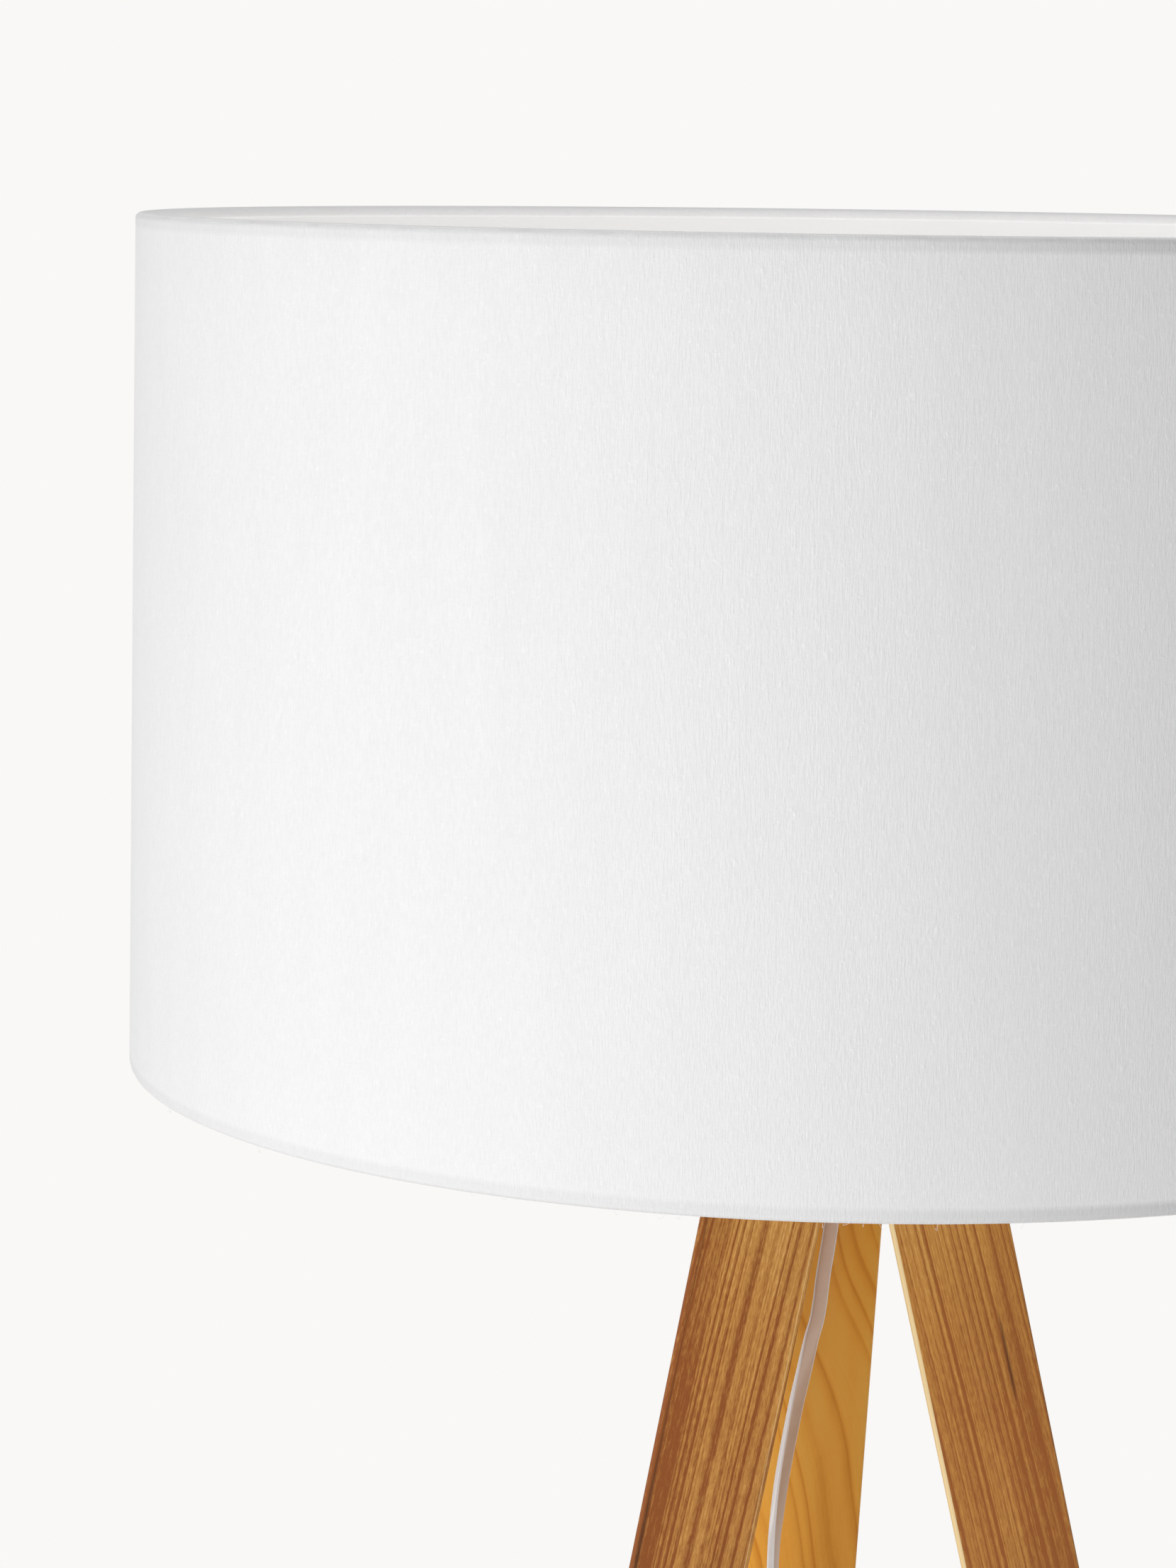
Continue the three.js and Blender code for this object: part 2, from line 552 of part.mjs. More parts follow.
// Switch: two housing shells screwed together, with a rocker on its own axle in the upper one.
const WALL = 1.7;
const SWITCH_SCREWS = [[8, 22], [-8, -22]];
const ROCKER = { pivotZ: 14.6, tilt: -8, width: 10.6, length: 17.6, axle: 1.5 };

function roundedPlan(width, length, round) {
  const [x, y] = [width / 2 - round, length / 2 - round];
  const shape = new THREE.Shape();
  [[x, y], [-x, y], [-x, -y], [x, -y]].forEach(([cx, cy], k) => {
    shape.absarc(cx, cy, round, (k * Math.PI) / 2, ((k + 1) * Math.PI) / 2, false);
  });
  shape.closePath();
  return shape;
}

function cordNotches() {
  const slot = box(CORD_WIDTH + 0.8, 8, CORD_THICKNESS + 0.8, 0, 0, ENTRY_Z);
  return [1, -1].map((end) => slot.clone().translate(0, (end * SWITCH.length) / 2, 0));
}

function housingShell(low, high, cavityLow, cavityHigh) {
  const outside = prism(roundedPlan(SWITCH.width, SWITCH.length, 9), low, high);
  const inside = prism(roundedPlan(SWITCH.width - 2 * WALL, SWITCH.length - 2 * WALL, 7.5), cavityLow, cavityHigh);
  return cut(outside, inside, ...cordNotches());
}

function lowerHousing() {
  const posts = SWITCH_SCREWS.map(([x, y]) => rod(3.2, WALL - 0.5, SWITCH.seam).translate(x, y, 0));
  const bores = SWITCH_SCREWS.map(([x, y]) => rod(1.6, -1, SWITCH.seam + 1).translate(x, y, 0));
  const sinks = SWITCH_SCREWS.map(([x, y]) => rod(3, -1, 2.2).translate(x, y, 0));
  const shell = housingShell(0.1, SWITCH.seam, WALL, SWITCH.seam + 1);
  return cut(join(shell, ...posts.map((post) => solid(post))), ...bores, ...sinks);
}

function upperHousing() {
  const low = SWITCH.seam + GAP;
  const posts = SWITCH_SCREWS.map(([x, y]) => rod(3.2, low, SWITCH.height - 1).translate(x, y, 0));
  const bores = SWITCH_SCREWS.map(([x, y]) => rod(1.5, low - 1, SWITCH.height - 3).translate(x, y, 0));
  const lugs = [1, -1].map((side) => box(2.6, 8, 7.5, side * 7.8, 0, SWITCH.height - 1 - 3.75));
  const opening = box(ROCKER.width + 1, ROCKER.length + 1.6, 12, 0, 0, SWITCH.height);
  const axleHole = rod(ROCKER.axle + 0.15, -8.6, 8.6).rotateY(Math.PI / 2).translate(0, 0, ROCKER.pivotZ);
  const shell = housingShell(low, SWITCH.height, low - 1, SWITCH.height - WALL);
  return cut(join(shell, ...posts, ...lugs), ...bores, opening, axleHole);
}

function rocker() {
  const half = ROCKER.length / 2;
  const outline = [[-half, -1], [-3, -3.6], [3, -3.6], [half, -1], [half, 5], [0, 3.9], [-half, 5]];
  const shape = new THREE.Shape(outline.map(([y, z]) => new THREE.Vector2(y, z)));
  const body = prism(shape, -ROCKER.width / 2, ROCKER.width / 2).rotateX(Math.PI / 2).rotateZ(Math.PI / 2);
  const axle = rod(ROCKER.axle, -8.2, 8.2).rotateY(Math.PI / 2);
  return join(body, axle);
}

function buildSwitch() {
  const group = new THREE.Group();
  group.position.set(SWITCH.x, SWITCH.y, 0);
  lamp.add(group);
  add('switch_lower_housing', lowerHousing(), WHITE_PLASTIC, group);
  add('switch_upper_housing', upperHousing(), WHITE_PLASTIC, group);
  SWITCH_SCREWS.forEach(([x, y], k) => {
    const fastener = screw(2.6, 1.4, 1.2, 10).rotateX(Math.PI).translate(x, y, 2);
    add(`switch_screw_${k + 1}`, fastener, STEEL, group);
  });
  [1, -1].forEach((end, k) => {
    const contact = join(box(4, 9, 0.8, 0, end * 8, WALL + 0.7), box(4, 0.8, 3.2, 0, end * 4, WALL + 1.9));
    add(`switch_contact_${k + 1}`, contact, BRASS, group);
  });
  const pivot = new THREE.Group();
  pivot.position.set(0, 0, ROCKER.pivotZ);
  pivot.rotation.x = THREE.MathUtils.degToRad(ROCKER.tilt);
  group.add(pivot);
  add('switch_rocker', rocker(), WHITE_PLASTIC, pivot);
}

// Plug: a flat two-pin plug that lies beside the coil and points to +X.
function buildPlug() {
  const bodyStart = PLUG.start + PLUG.relief + GAP;
  const front = bodyStart + PLUG.length;
  const half = PLUG.width / 2;
  const plan = [[0, -8], [13, -half + 3], [PLUG.length, -half], [PLUG.length, half], [13, half - 3], [0, 8]];
  const inset = 1.5;
  const shape = new THREE.Shape(plan.map(([x, y]) => new THREE.Vector2(x, y)));
  const body = new THREE.ExtrudeGeometry(shape, {
    depth: PLUG.height - 2 * inset, bevelThickness: inset, bevelSize: inset, bevelOffset: -inset, bevelSegments: 1,
  }).translate(bodyStart, PLUG.y, PLUG.z - PLUG.height / 2 + inset);
  add('plug_body', solid(body), WHITE_PLASTIC);
  const relief = turned([
    [0, 0], [3.9, 0], [4.4, 8], [5.6, 19], [6.2, PLUG.relief], [0, PLUG.relief],
  ]).rotateY(Math.PI / 2).translate(PLUG.start, PLUG.y, PLUG.z);
  add('plug_strain_relief', relief, WHITE_PLASTIC);
  for (const [side, sign] of [['left', 1], ['right', -1]]) {
    const pin = turned([[0, 0], [2, 0], [2, 18], [1.2, 19], [0, 19]], 8);
    add(`plug_pin_${side}`, pin.rotateY(Math.PI / 2).translate(front + GAP, PLUG.y + sign * 9.3, PLUG.z), BRASS);
  }
}

buildLegs();
buildHub();
buildLampholder();
buildBulb();
buildShade();
buildCord();
buildSwitch();
buildPlug();

export default lamp;
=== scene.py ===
"""The looks of a tripod floor lamp: a drum shade of slubby fabric on three wooden legs of triangular section.

Everything is in metres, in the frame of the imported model: +Z up, the floor at z = 0, the rear leg towards +Y.
"""

import math
import random

import bmesh
import bpy
from mathutils import Matrix, Vector, noise


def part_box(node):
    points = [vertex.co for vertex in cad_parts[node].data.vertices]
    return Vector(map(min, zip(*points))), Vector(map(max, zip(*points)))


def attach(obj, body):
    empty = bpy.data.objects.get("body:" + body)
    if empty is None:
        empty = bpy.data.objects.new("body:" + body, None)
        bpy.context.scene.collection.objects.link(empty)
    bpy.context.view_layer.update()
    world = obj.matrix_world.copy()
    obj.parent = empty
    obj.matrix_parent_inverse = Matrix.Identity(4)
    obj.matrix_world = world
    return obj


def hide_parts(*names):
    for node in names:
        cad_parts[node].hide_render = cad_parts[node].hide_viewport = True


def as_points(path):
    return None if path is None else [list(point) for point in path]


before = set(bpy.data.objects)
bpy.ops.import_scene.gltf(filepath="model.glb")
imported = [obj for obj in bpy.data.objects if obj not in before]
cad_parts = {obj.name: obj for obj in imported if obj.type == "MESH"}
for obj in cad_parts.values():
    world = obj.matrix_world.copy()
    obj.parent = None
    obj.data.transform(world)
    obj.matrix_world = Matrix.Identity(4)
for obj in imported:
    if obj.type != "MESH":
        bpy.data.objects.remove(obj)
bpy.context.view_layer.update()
MM = 0.001
GAP = 0.3 * MM


def box_of(node):
    low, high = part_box(node)
    return low, high, (low + high) / 2


# Places, from the frame
HOLDER_BOX = box_of("lampholder_body")
AXIS = Vector((HOLDER_BOX[2].x, HOLDER_BOX[2].y, 0.0))
SHADE_BOX = box_of("shade_fabric")
RIM_Z, TOP_Z = SHADE_BOX[0].z, SHADE_BOX[1].z
BOTTOM_RADIUS = (SHADE_BOX[1].x - SHADE_BOX[0].x) / 2
TOP_RADIUS = BOTTOM_RADIUS - 2.5 * MM
LEG_FOOT_Z, LEG_TOP_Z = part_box("leg_rear")[0].z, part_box("leg_rear")[1].z
GLAND_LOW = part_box("cord_gland")[0].z


def mesh_from(bm, name):
    mesh = bpy.data.meshes.new(name)
    bm.to_mesh(mesh)
    bm.free()
    return mesh


def added(name, data):
    """A new object in the scene."""
    obj = bpy.data.objects.new(name, data)
    bpy.context.scene.collection.objects.link(obj)
    return obj


# ------------------------------------------------------------------ camera

# The camera's place, seen from the lamp's axis: how far, how high over the shade's lower rim, and its turns.
CAMERA_DISTANCE = 1.56904
CAMERA_ABOVE_RIM = 0.31934
LAMP_YAW = math.radians(10.129)
CAMERA_HEADING = math.radians(6.809)
CAMERA_PITCH = math.radians(-8.114)
CAMERA_ROLL = math.radians(0.744)
CAMERA_LENS = 103.955
VIEW_RIGHT = Vector((math.cos(LAMP_YAW), -math.sin(LAMP_YAW), 0.0))
VIEW_AWAY = Vector((math.sin(LAMP_YAW), math.cos(LAMP_YAW), 0.0))


def make_camera():
    data = bpy.data.cameras.new("camera")
    data.lens = CAMERA_LENS
    data.sensor_width = 36.0
    turn = (
        Matrix.Rotation(-CAMERA_HEADING, 4, "Z")
        @ Matrix.Rotation(math.pi / 2 + CAMERA_PITCH, 4, "X")
        @ Matrix.Rotation(CAMERA_ROLL, 4, "Z")
    )
    place = AXIS - VIEW_AWAY * CAMERA_DISTANCE
    place.z = RIM_Z + CAMERA_ABOVE_RIM
    camera = added("camera", data)
    camera.matrix_world = Matrix.Translation(place) @ turn
    bpy.context.scene.camera = camera


# ------------------------------------------------------------------ shared mesh code

SHARP_ANGLE = math.radians(40)


def piece(name, shape, material, body, replaced=()):
    """A finished piece from a bmesh or a mesh: smooth but for its sharp edges, riding on its body."""
    if isinstance(shape, bmesh.types.BMesh):
        bmesh.ops.recalc_face_normals(shape, faces=shape.faces)
        mesh = mesh_from(shape, name)
    else:
        mesh = shape
        mesh.name = name
    mark_sharp(mesh)
    mesh.materials.clear()
    mesh.materials.append(material)
    obj = added(name, mesh)
    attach(obj, body)
    if replaced:
        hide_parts(*replaced)
    return obj


def mark_sharp(mesh):
    bm = bmesh.new()
    bm.from_mesh(mesh)
    for face in bm.faces:
        face.smooth = True
    for edge in bm.edges:
        edge.smooth = len(edge.link_faces) == 2 and edge.calc_face_angle(0.0) < SHARP_ANGLE
    bm.to_mesh(mesh)
    bm.free()


def loft(rings):
    """A bmesh through rings of points, all of the same count, closed at both ends."""
    bm = bmesh.new()
    rows = [[bm.verts.new(point) for point in ring] for ring in rings]
    for below, above in zip(rows, rows[1:]):
        count = len(below)
        for i in range(count):
            j = (i + 1) % count
            bm.faces.new((below[i], below[j], above[j], above[i]))
    bm.faces.new(rows[0][::-1])
    bm.faces.new(rows[-1])
    return bm


# How a turned piece's radius follows the angle and the height
THREAD = {"pitch": 2.5 * MM, "depth": 0.6 * MM}
FORMS = {
    "round": lambda radius, angle, z: radius,
    "hexagon": lambda radius, angle, z: radius / math.cos(angle % (math.pi / 3) - math.pi / 6),
    "ribbed": lambda radius, angle, z: radius + 0.35 * MM * math.cos(36 * angle),
    "thread": lambda radius, angle, z: radius
    - THREAD["depth"] * (0.5 - 0.5 * math.cos(2 * math.pi * z / THREAD["pitch"] - angle)),
}


def turned(outline, segments=96):
    """A body turned about Z from (radius, z) or (radius, z, form) points, closed on itself or on the axis."""
    bm = bmesh.new()
    rows = []
    for point in outline:
        radius, z, form = point if len(point) == 3 else (*point, "round")
        if radius < 1e-7:
            rows.append([bm.verts.new((0, 0, z))])
            continue
        row = []
        for i in range(segments):
            angle = 2 * math.pi * i / segments
            reach = FORMS[form](radius, angle, z)
            row.append(bm.verts.new((reach * math.cos(angle), reach * math.sin(angle), z)))
        rows.append(row)
    pairs = list(zip(rows, rows[1:]))
    if len(rows[0]) > 1:
        pairs.append((rows[-1], rows[0]))
    for first, second in pairs:
        for i in range(segments):
            j = (i + 1) % segments
            corners = [row[k % len(row)] for row, k in ((first, i), (first, j), (second, j), (second, i))]
            unique = list(dict.fromkeys(corners))
            if len(unique) > 2:
                bm.faces.new(unique)
    return bm


def eased(outline, radius, steps=3):
    """The outline with its corners rounded. Points with a form of their own stay sharp."""
    on_axis = outline[0][0] < 1e-7
    out = []
    for i, point in enumerate(outline):
        end = on_axis and i in (0, len(outline) - 1)
        if end or len(point) == 3:
            out.append(point)
            continue
        here = Vector(point)
        before = Vector(outline[i - 1][:2]) - here
        after = Vector(outline[(i + 1) % len(outline)][:2]) - here
        reach = min(radius, 0.42 * before.length, 0.42 * after.length)
        start, stop = here + before.normalized() * reach, here + after.normalized() * reach
        for k in range(steps + 1):
            t = k / steps
            out.append(tuple((1 - t) ** 2 * start + 2 * t * (1 - t) * here + t * t * stop))
    return out


def threaded_rows(radius, low, high, per_turn=8):
    """Outline points for a screw thread between two heights."""
    count = round((high - low) / THREAD["pitch"] * per_turn)
    return [(radius, low + (high - low) * i / count, "thread") for i in range(count + 1)]


def placed(bm, matrix):
    bmesh.ops.transform(bm, matrix=matrix, verts=bm.verts)
    return bm


def on_axis(bm, z=0.0):
    return placed(bm, Matrix.Translation(AXIS + Vector((0, 0, z))))


def turned_piece(name, outline, material, body, node, segments=96):
    """A piece turned about the lamp's axis, which stands in for one node."""
    return piece(name, on_axis(turned(outline, segments)), material, body, [node])


def smooth_line(points, step):
    """Points along a centripetal Catmull-Rom curve, about step apart. Extra numbers in them follow along."""
    points = [Vector(p) for p in points]
    line = []
    for i in range(len(points) - 1):
        p1, p2 = points[i], points[i + 1]
        p0 = points[i - 1] if i else p1 * 2 - p2
        p3 = points[i + 2] if i + 2 < len(points) else p2 * 2 - p1
        knots = [0.0]
        for a, b in ((p0, p1), (p1, p2), (p2, p3)):
            knots.append(knots[-1] + max(1e-9, (b - a).length) ** 0.5)
        t0, t1, t2, t3 = knots
        count = max(1, round((p2 - p1).length / step))
        for k in range(count):
            t = t1 + (t2 - t1) * k / count
            a1 = p0 * ((t1 - t) / (t1 - t0)) + p1 * ((t - t0) / (t1 - t0))
            a2 = p1 * ((t2 - t) / (t2 - t1)) + p2 * ((t - t1) / (t2 - t1))
            a3 = p2 * ((t3 - t) / (t3 - t2)) + p3 * ((t - t2) / (t3 - t2))
            b1 = a1 * ((t2 - t) / (t2 - t0)) + a2 * ((t - t0) / (t2 - t0))
            b2 = a2 * ((t3 - t) / (t3 - t1)) + a3 * ((t - t1) / (t3 - t1))
            line.append(b1 * ((t2 - t) / (t2 - t1)) + b2 * ((t - t1) / (t2 - t1)))
    line.append(points[-1])
    return line


def swept(line, section, widths=None):
    """A tube along line. section is (across, through) points, widths the across direction at each point."""
    rings = []
    side = None
    for i, point in enumerate(line):
        along = (line[min(i + 1, len(line) - 1)] - line[max(i - 1, 0)]).normalized()
        if widths:
            side = widths[i]
        elif side is None:
            side = along.orthogonal()
        side = (side - along * side.dot(along)).normalized()
        through = along.cross(side)
        rings.append([point + side * a + through * b for a, b in section])
    return loft(rings)


def circle(radius, count=16):
    angles = [2 * math.pi * i / count for i in range(count)]
    return [(radius * math.cos(angle), radius * math.sin(angle)) for angle in angles]


def cut_away(bm, *cutters):
    """The bmesh with the cutters' bodies taken out of it, as a mesh."""
    objects = []
    for i, shape in enumerate((bm, *cutters)):
        bmesh.ops.recalc_face_normals(shape, faces=shape.faces)
        objects.append(added(f"work_{i}", mesh_from(shape, "work")))
    for cutter in objects[1:]:
        modifier = objects[0].modifiers.new("cut", "BOOLEAN")
        modifier.operation = "DIFFERENCE"
        modifier.solver = "EXACT"
        modifier.object = cutter
    graph = bpy.context.evaluated_depsgraph_get()
    result = bpy.data.meshes.new_from_object(objects[0].evaluated_get(graph))
    for obj in objects:
        bpy.data.objects.remove(obj)
    return result


def soften(obj, width):
    """Rounded edges by modifier."""
    bevel = obj.modifiers.new("edges", "BEVEL")
    bevel.width = width
    bevel.segments = 3
    bevel.limit_method = "ANGLE"
    bevel.angle_limit = SHARP_ANGLE


# ------------------------------------------------------------------ materials

class Shader:
    """A principled material's node tree, with short calls for the nodes used here."""

    def __init__(self, name, **settings):
        self.material = bpy.data.materials.new(name)
        self.material.use_nodes = True
        self.tree = self.material.node_tree
        self.surface = next(n for n in self.tree.nodes if n.type == "BSDF_PRINCIPLED")
        for socket, value in settings.items():
            self.surface.inputs[socket.replace("_", " ")].default_value = value
        self.position = self.tree.nodes.new("ShaderNodeTexCoord").outputs["Object"]

    def feed(self, socket, value):
        if isinstance(value, bpy.types.NodeSocket):
            self.tree.links.new(value, socket)
        elif value is not None:
            socket.default_value = value

    def math(self, operation, a, b=None, c=None):
        node = self.tree.nodes.new("ShaderNodeMath")
        node.operation = operation
        for socket, value in zip(node.inputs, (a, b, c)):
            self.feed(socket, value)
        return node.outputs[0]

    def plus(self, a, b):
        return self.math("ADD", a, b)

    def minus(self, a, b):
        return self.math("SUBTRACT", a, b)

    def times(self, a, b):
        return self.math("MULTIPLY", a, b)

    def times_plus(self, a, b, c):
        """a times b, plus c."""
        return self.math("MULTIPLY_ADD", a, b, c)

    def distance(self, x, y):
        return self.math("SQRT", self.plus(self.times(x, x), self.times(y, y)))

    def along(self, direction, offset=0.0):
        """How far a point lies along a direction."""
        node = self.tree.nodes.new("ShaderNodeVectorMath")
        node.operation = "DOT_PRODUCT"
        self.feed(node.inputs[0], self.position)
        node.inputs[1].default_value = direction
        return self.plus(node.outputs["Value"], offset)

    def axes(self):
        return [self.along(Vector(axis)) for axis in ((1, 0, 0), (0, 1, 0), (0, 0, 1))]

    def vector(self, x, y, z):
        node = self.tree.nodes.new("ShaderNodeCombineXYZ")
        for socket, value in zip(node.inputs, (x, y, z)):
            self.feed(socket, value)
        return node.outputs[0]

    def scaled(self, x, y, z, scale):
        return self.vector(*(self.times(value, factor) for value, factor in zip((x, y, z), scale)))

    def noise(self, vector, scale=1.0, detail=2.0, roughness=0.5, distortion=0.0, dimensions="3D"):
        node = self.tree.nodes.new("ShaderNodeTexNoise")
        node.noise_dimensions = dimensions
        self.feed(node.inputs["W" if dimensions == "1D" else "Vector"], vector)
        node.inputs["Scale"].default_value = scale
        node.inputs["Detail"].default_value = detail
        node.inputs["Roughness"].default_value = roughness
        node.inputs["Distortion"].default_value = distortion
        return node.outputs[0]

    def ramp(self, value, *stops):
        """A smooth colour or grey ramp. Each stop is (position, colour)."""
        node = self.tree.nodes.new("ShaderNodeValToRGB")
        elements = node.color_ramp.elements
        while len(elements) < len(stops):
            elements.new(0.5)
        for element, (position, colour) in zip(elements, stops):
            element.position = position
            element.color = (*colour, 1.0) if hasattr(colour, "__len__") else (colour, colour, colour, 1.0)
        self.feed(node.inputs[0], value)
        return node.outputs[0]

    def mix(self, factor, a, b):
        node = self.tree.nodes.new("ShaderNodeMix")
        node.data_type = "RGBA"
        self.feed(node.inputs[0], factor)
        for socket, value in zip((node.inputs[6], node.inputs[7]), (a, b)):
            if isinstance(value, (tuple, list)):
                value = (*value, 1.0)
            self.feed(socket, value)
        return node.outputs[2]

    def attribute(self, name):
        node = self.tree.nodes.new("ShaderNodeAttribute")
        node.attribute_name = name
        return node.outputs["Fac"]

    def bump(self, height, strength, distance):
        node = self.tree.nodes.new("ShaderNodeBump")
        node.inputs["Strength"].default_value = strength
        node.inputs["Distance"].default_value = distance
        self.feed(node.inputs["Height"], height)
        self.feed(self.surface.inputs["Normal"], node.outputs[0])

    def colour(self, value):
        self.feed(self.surface.inputs["Base Color"], value)

    def roughness(self, value):
        self.feed(self.surface.inputs["Roughness"], value)

    # Painted light: white emission on a surface that is no lamp.
    def painted_glow(self, strength):
        self.surface.inputs["Emission Color"].default_value = (1.0, 1.0, 1.0, 1.0)
        self.feed(self.surface.inputs["Emission Strength"], strength)


def wood(
    name, azimuth, colours, spacing, slant, softness, fibres, heart=0.0, lower=(0.0, 0.0), streak=None,
    inner_arris_highlight=None,
):
    """Lacquered wood with its growth rings standing across the face that points to -Y.

    colours are light, middle and dark. spacing is the width of a ring, slant how far the rings move across
    the leg for each unit of height, softness how blurred they are and fibres how strong the fine grain is.
    heart darkens the wood towards its outer arris. lower darkens it down the leg: how far below the screw,
    and how much. streak is a dark line: (across, height, half its length). The last argument is a painted
    highlight that makes the two inner arrises paler: how much, and where on the rounding that ends."""
    shader = Shader(name, Coat_Weight=0.08, Coat_Roughness=0.25, Specular_IOR_Level=0.2)
    lean = LEG_SPREAD * math.cos(math.radians(azimuth)), LEG_SPREAD * math.sin(math.radians(azimuth))
    e = shader.along(Vector((1, 0, lean[0])), -AXIS.x - lean[0] * LEG_APEX_Z)
    f = shader.along(Vector((0, 1, lean[1])), -AXIS.y - lean[1] * LEG_APEX_Z)
    z = shader.along(Vector((0, 0, 1)))
    wander = shader.noise(shader.scaled(e, f, z, (22, 22, 3 + 30 * abs(slant))), detail=1.0, roughness=0.4)
    ring = shader.times_plus(f, 0.25, e)
    ring = shader.times_plus(z, slant, ring)
    ring = shader.times_plus(wander, 2.4 * spacing, ring)
    uneven_width = shader.noise(ring, scale=0.30 / spacing, detail=1.0, dimensions="1D")
    phase = shader.times_plus(ring, 1 / spacing, shader.times(uneven_width, 3.2))
    late = shader.ramp(
        shader.math("FRACT", phase),
        (0.0, 0.75), (0.05 + 0.1 * softness, 0.06), (0.45, 0.0), (0.80, 0.5), (0.94, 1.0),
    )
    strength = shader.noise(ring, scale=0.45 / spacing, detail=0.0, dimensions="1D")
    strength = shader.ramp(strength, (0.35, 0.35), (0.65, 1.0))
    fine = shader.noise(ring, scale=1100.0, detail=2.0, roughness=0.6, dimensions="1D")
    pores = shader.noise(shader.scaled(e, f, z, (1700, 1700, 300)), detail=2.0, roughness=0.7)
    broad = shader.noise(shader.scaled(e, f, z, (90, 90, 7)), detail=2.0, roughness=0.5)
    dark = shader.times_plus(shader.times(late, strength), 0.46, 0.29)
    for texture, weight in ((fine, 0.62 * fibres), (pores, 0.70 * fibres), (broad, 0.5)):
        dark = shader.times_plus(shader.minus(texture, 0.5), weight, dark)
    outward = shader.times(e, math.copysign(50.0, math.cos(math.radians(azimuth))))
    dark = shader.plus(dark, shader.ramp(outward, (0.25, 0.0), (0.75, heart)))
    below_head = shader.times_plus(z, -8.0, 8.0 * (LEG_SCREW_Z - lower[0]))
    dark = shader.plus(dark, shader.ramp(below_head, (0.1, 0.0), (0.9, lower[1])))
    light, middle, deep = colours
    colour = shader.ramp(dark, (0.20, light), (0.42, middle), (0.80, deep))
    if streak:
        across, height, reach = streak
        away = shader.math("ABSOLUTE", shader.minus(e, across))
        away = shader.times_plus(shader.minus(wander, 0.5), 0.004, away)
        along = shader.math("DIVIDE", shader.math("ABSOLUTE", shader.minus(z, height)), reach)
        line = shader.plus(shader.math("DIVIDE", away, 0.0011), shader.math("POWER", along, 4.0))
        colour = shader.mix(shader.ramp(line, (0.15, 0.9), (0.95, 0.0)), colour, [c * 0.30 for c in deep])
    # Painted highlight: the two inner arrises made paler, standing in for the glint of light along them.
    if inner_arris_highlight:
        strength, end = inner_arris_highlight
        tip = 1 / math.sqrt(3) - ARRIS_SHARE
        slope = (LEG_SIDE_TOP - LEG_SIDE_FOOT) / (LEG_TOP_Z - LEG_FOOT_Z) * tip
        limit = shader.times_plus(z, slope, LEG_SIDE_FOOT * tip - LEG_FOOT_Z * slope)
        for turn in (120, -120):
            angle = math.radians(azimuth + turn)
            reach = shader.times(f, math.sin(angle))
            reach = shader.times_plus(e, math.cos(angle), reach)
            depth = shader.times_plus(shader.minus(reach, limit), 500.0, 1.0)
            pale = shader.ramp(depth, (0.50, 0.0), (0.58, strength), (end - 0.08, strength), (end, 0.0))
            colour = shader.mix(pale, colour, (0.88, 0.68, 0.36))
    shader.colour(colour)
    shader.roughness(shader.ramp(dark, (0.2, 0.46), (0.8, 0.60)))
    shader.bump(shader.minus(1.0, dark), 0.3, 0.00025)
    return shader.material


# Painted light: white emission that stands in for the light coming through the cloth, seen on the roll's inner
# side and on the lining
ROLL_PAINTED_GLOW, LINING_PAINTED_GLOW = 0.21, 0.22


def shade_fabric_material():
    """A plain weave with slubs in its upright threads. Its outer face has a painted shade along the rims,
    stronger towards +X, and the roll's inner side has painted light for the little light that comes through the
    cloth."""
    shader = Shader(
        "shade_fabric", Roughness=0.92, Specular_IOR_Level=0.25, Sheen_Weight=0.12, Sheen_Roughness=0.6
    )
    z = shader.along(Vector((0, 0, 1)))
    right = shader.along(Vector((1, 0, 0)), -AXIS.x)
    front = shader.along(Vector((0, -1, 0)), AXIS.y)
    arc = shader.times(shader.math("ARCTAN2", right, front), BOTTOM_RADIUS)
    radius = shader.distance(right, front)
    upright = shader.noise(shader.scaled(arc, z, radius, (1750, 230, 300)), detail=2.0, roughness=0.65)
    level = shader.noise(shader.scaled(arc, z, radius, (500, 1500, 300)), detail=1.0, roughness=0.6)
    slubs = shader.noise(shader.scaled(arc, z, radius, (620, 420, 300)), detail=1.0, roughness=0.6)
    slub = shader.ramp(slubs, (0.62, 0.0), (0.80, 1.0))
    cloud = shader.noise(shader.scaled(arc, z, radius, (60, 9, 9)), detail=3.0, roughness=0.6)
    weave = shader.plus(shader.times(upright, 0.90), shader.times(level, 0.25))
    height = shader.times_plus(slub, 0.30, weave)
    tone = shader.plus(shader.times(weave, 0.16), shader.times(cloud, 0.05))
    tone = shader.times_plus(slub, 0.045, tone)
    low_edge = shader.minus(z, RIM_Z)
    high_edge = shader.minus(TOP_Z, z)
    edge = shader.math("MINIMUM", low_edge, high_edge)
    # Painted shade: the outer face is darkened along both rims, stronger towards +X, the side turned away from
    # the key light.
    painted_rim_shade = shader.ramp(shader.times(edge, 100.0), (0.03, 0.0), (0.08, 1.0), (0.38, 1.0), (0.55, 0.0))
    outside = shader.times_plus(radius, 500.0, -500 * (TOP_RADIUS - 2 * MM))
    outside = shader.ramp(outside, (0.0, 0.0), (0.6, 1.0))
    painted_rim_shade = shader.times(painted_rim_shade, outside)
    base = shader.ramp(tone, (0.02, (0.78, 0.78, 0.783)), (0.20, (0.92, 0.92, 0.922)))
    painted_shade_to_right = shader.ramp(shader.times_plus(right, 2.0, 0.5), (0.42, 0.10), (0.90, 0.62))
    shader.colour(shader.mix(shader.times(painted_rim_shade, painted_shade_to_right), base, (0.30, 0.30, 0.302)))
    # Painted light: white emission on the roll's inner side, standing in for the light that comes through the
    # cloth.
    within = shader.times_plus(radius, -500.0, 500 * TOP_RADIUS)
    shader.painted_glow(shader.ramp(within, (0.1, 0.0), (0.7, ROLL_PAINTED_GLOW)))
    shader.bump(height, 0.8, 0.00026)
    return shader.material


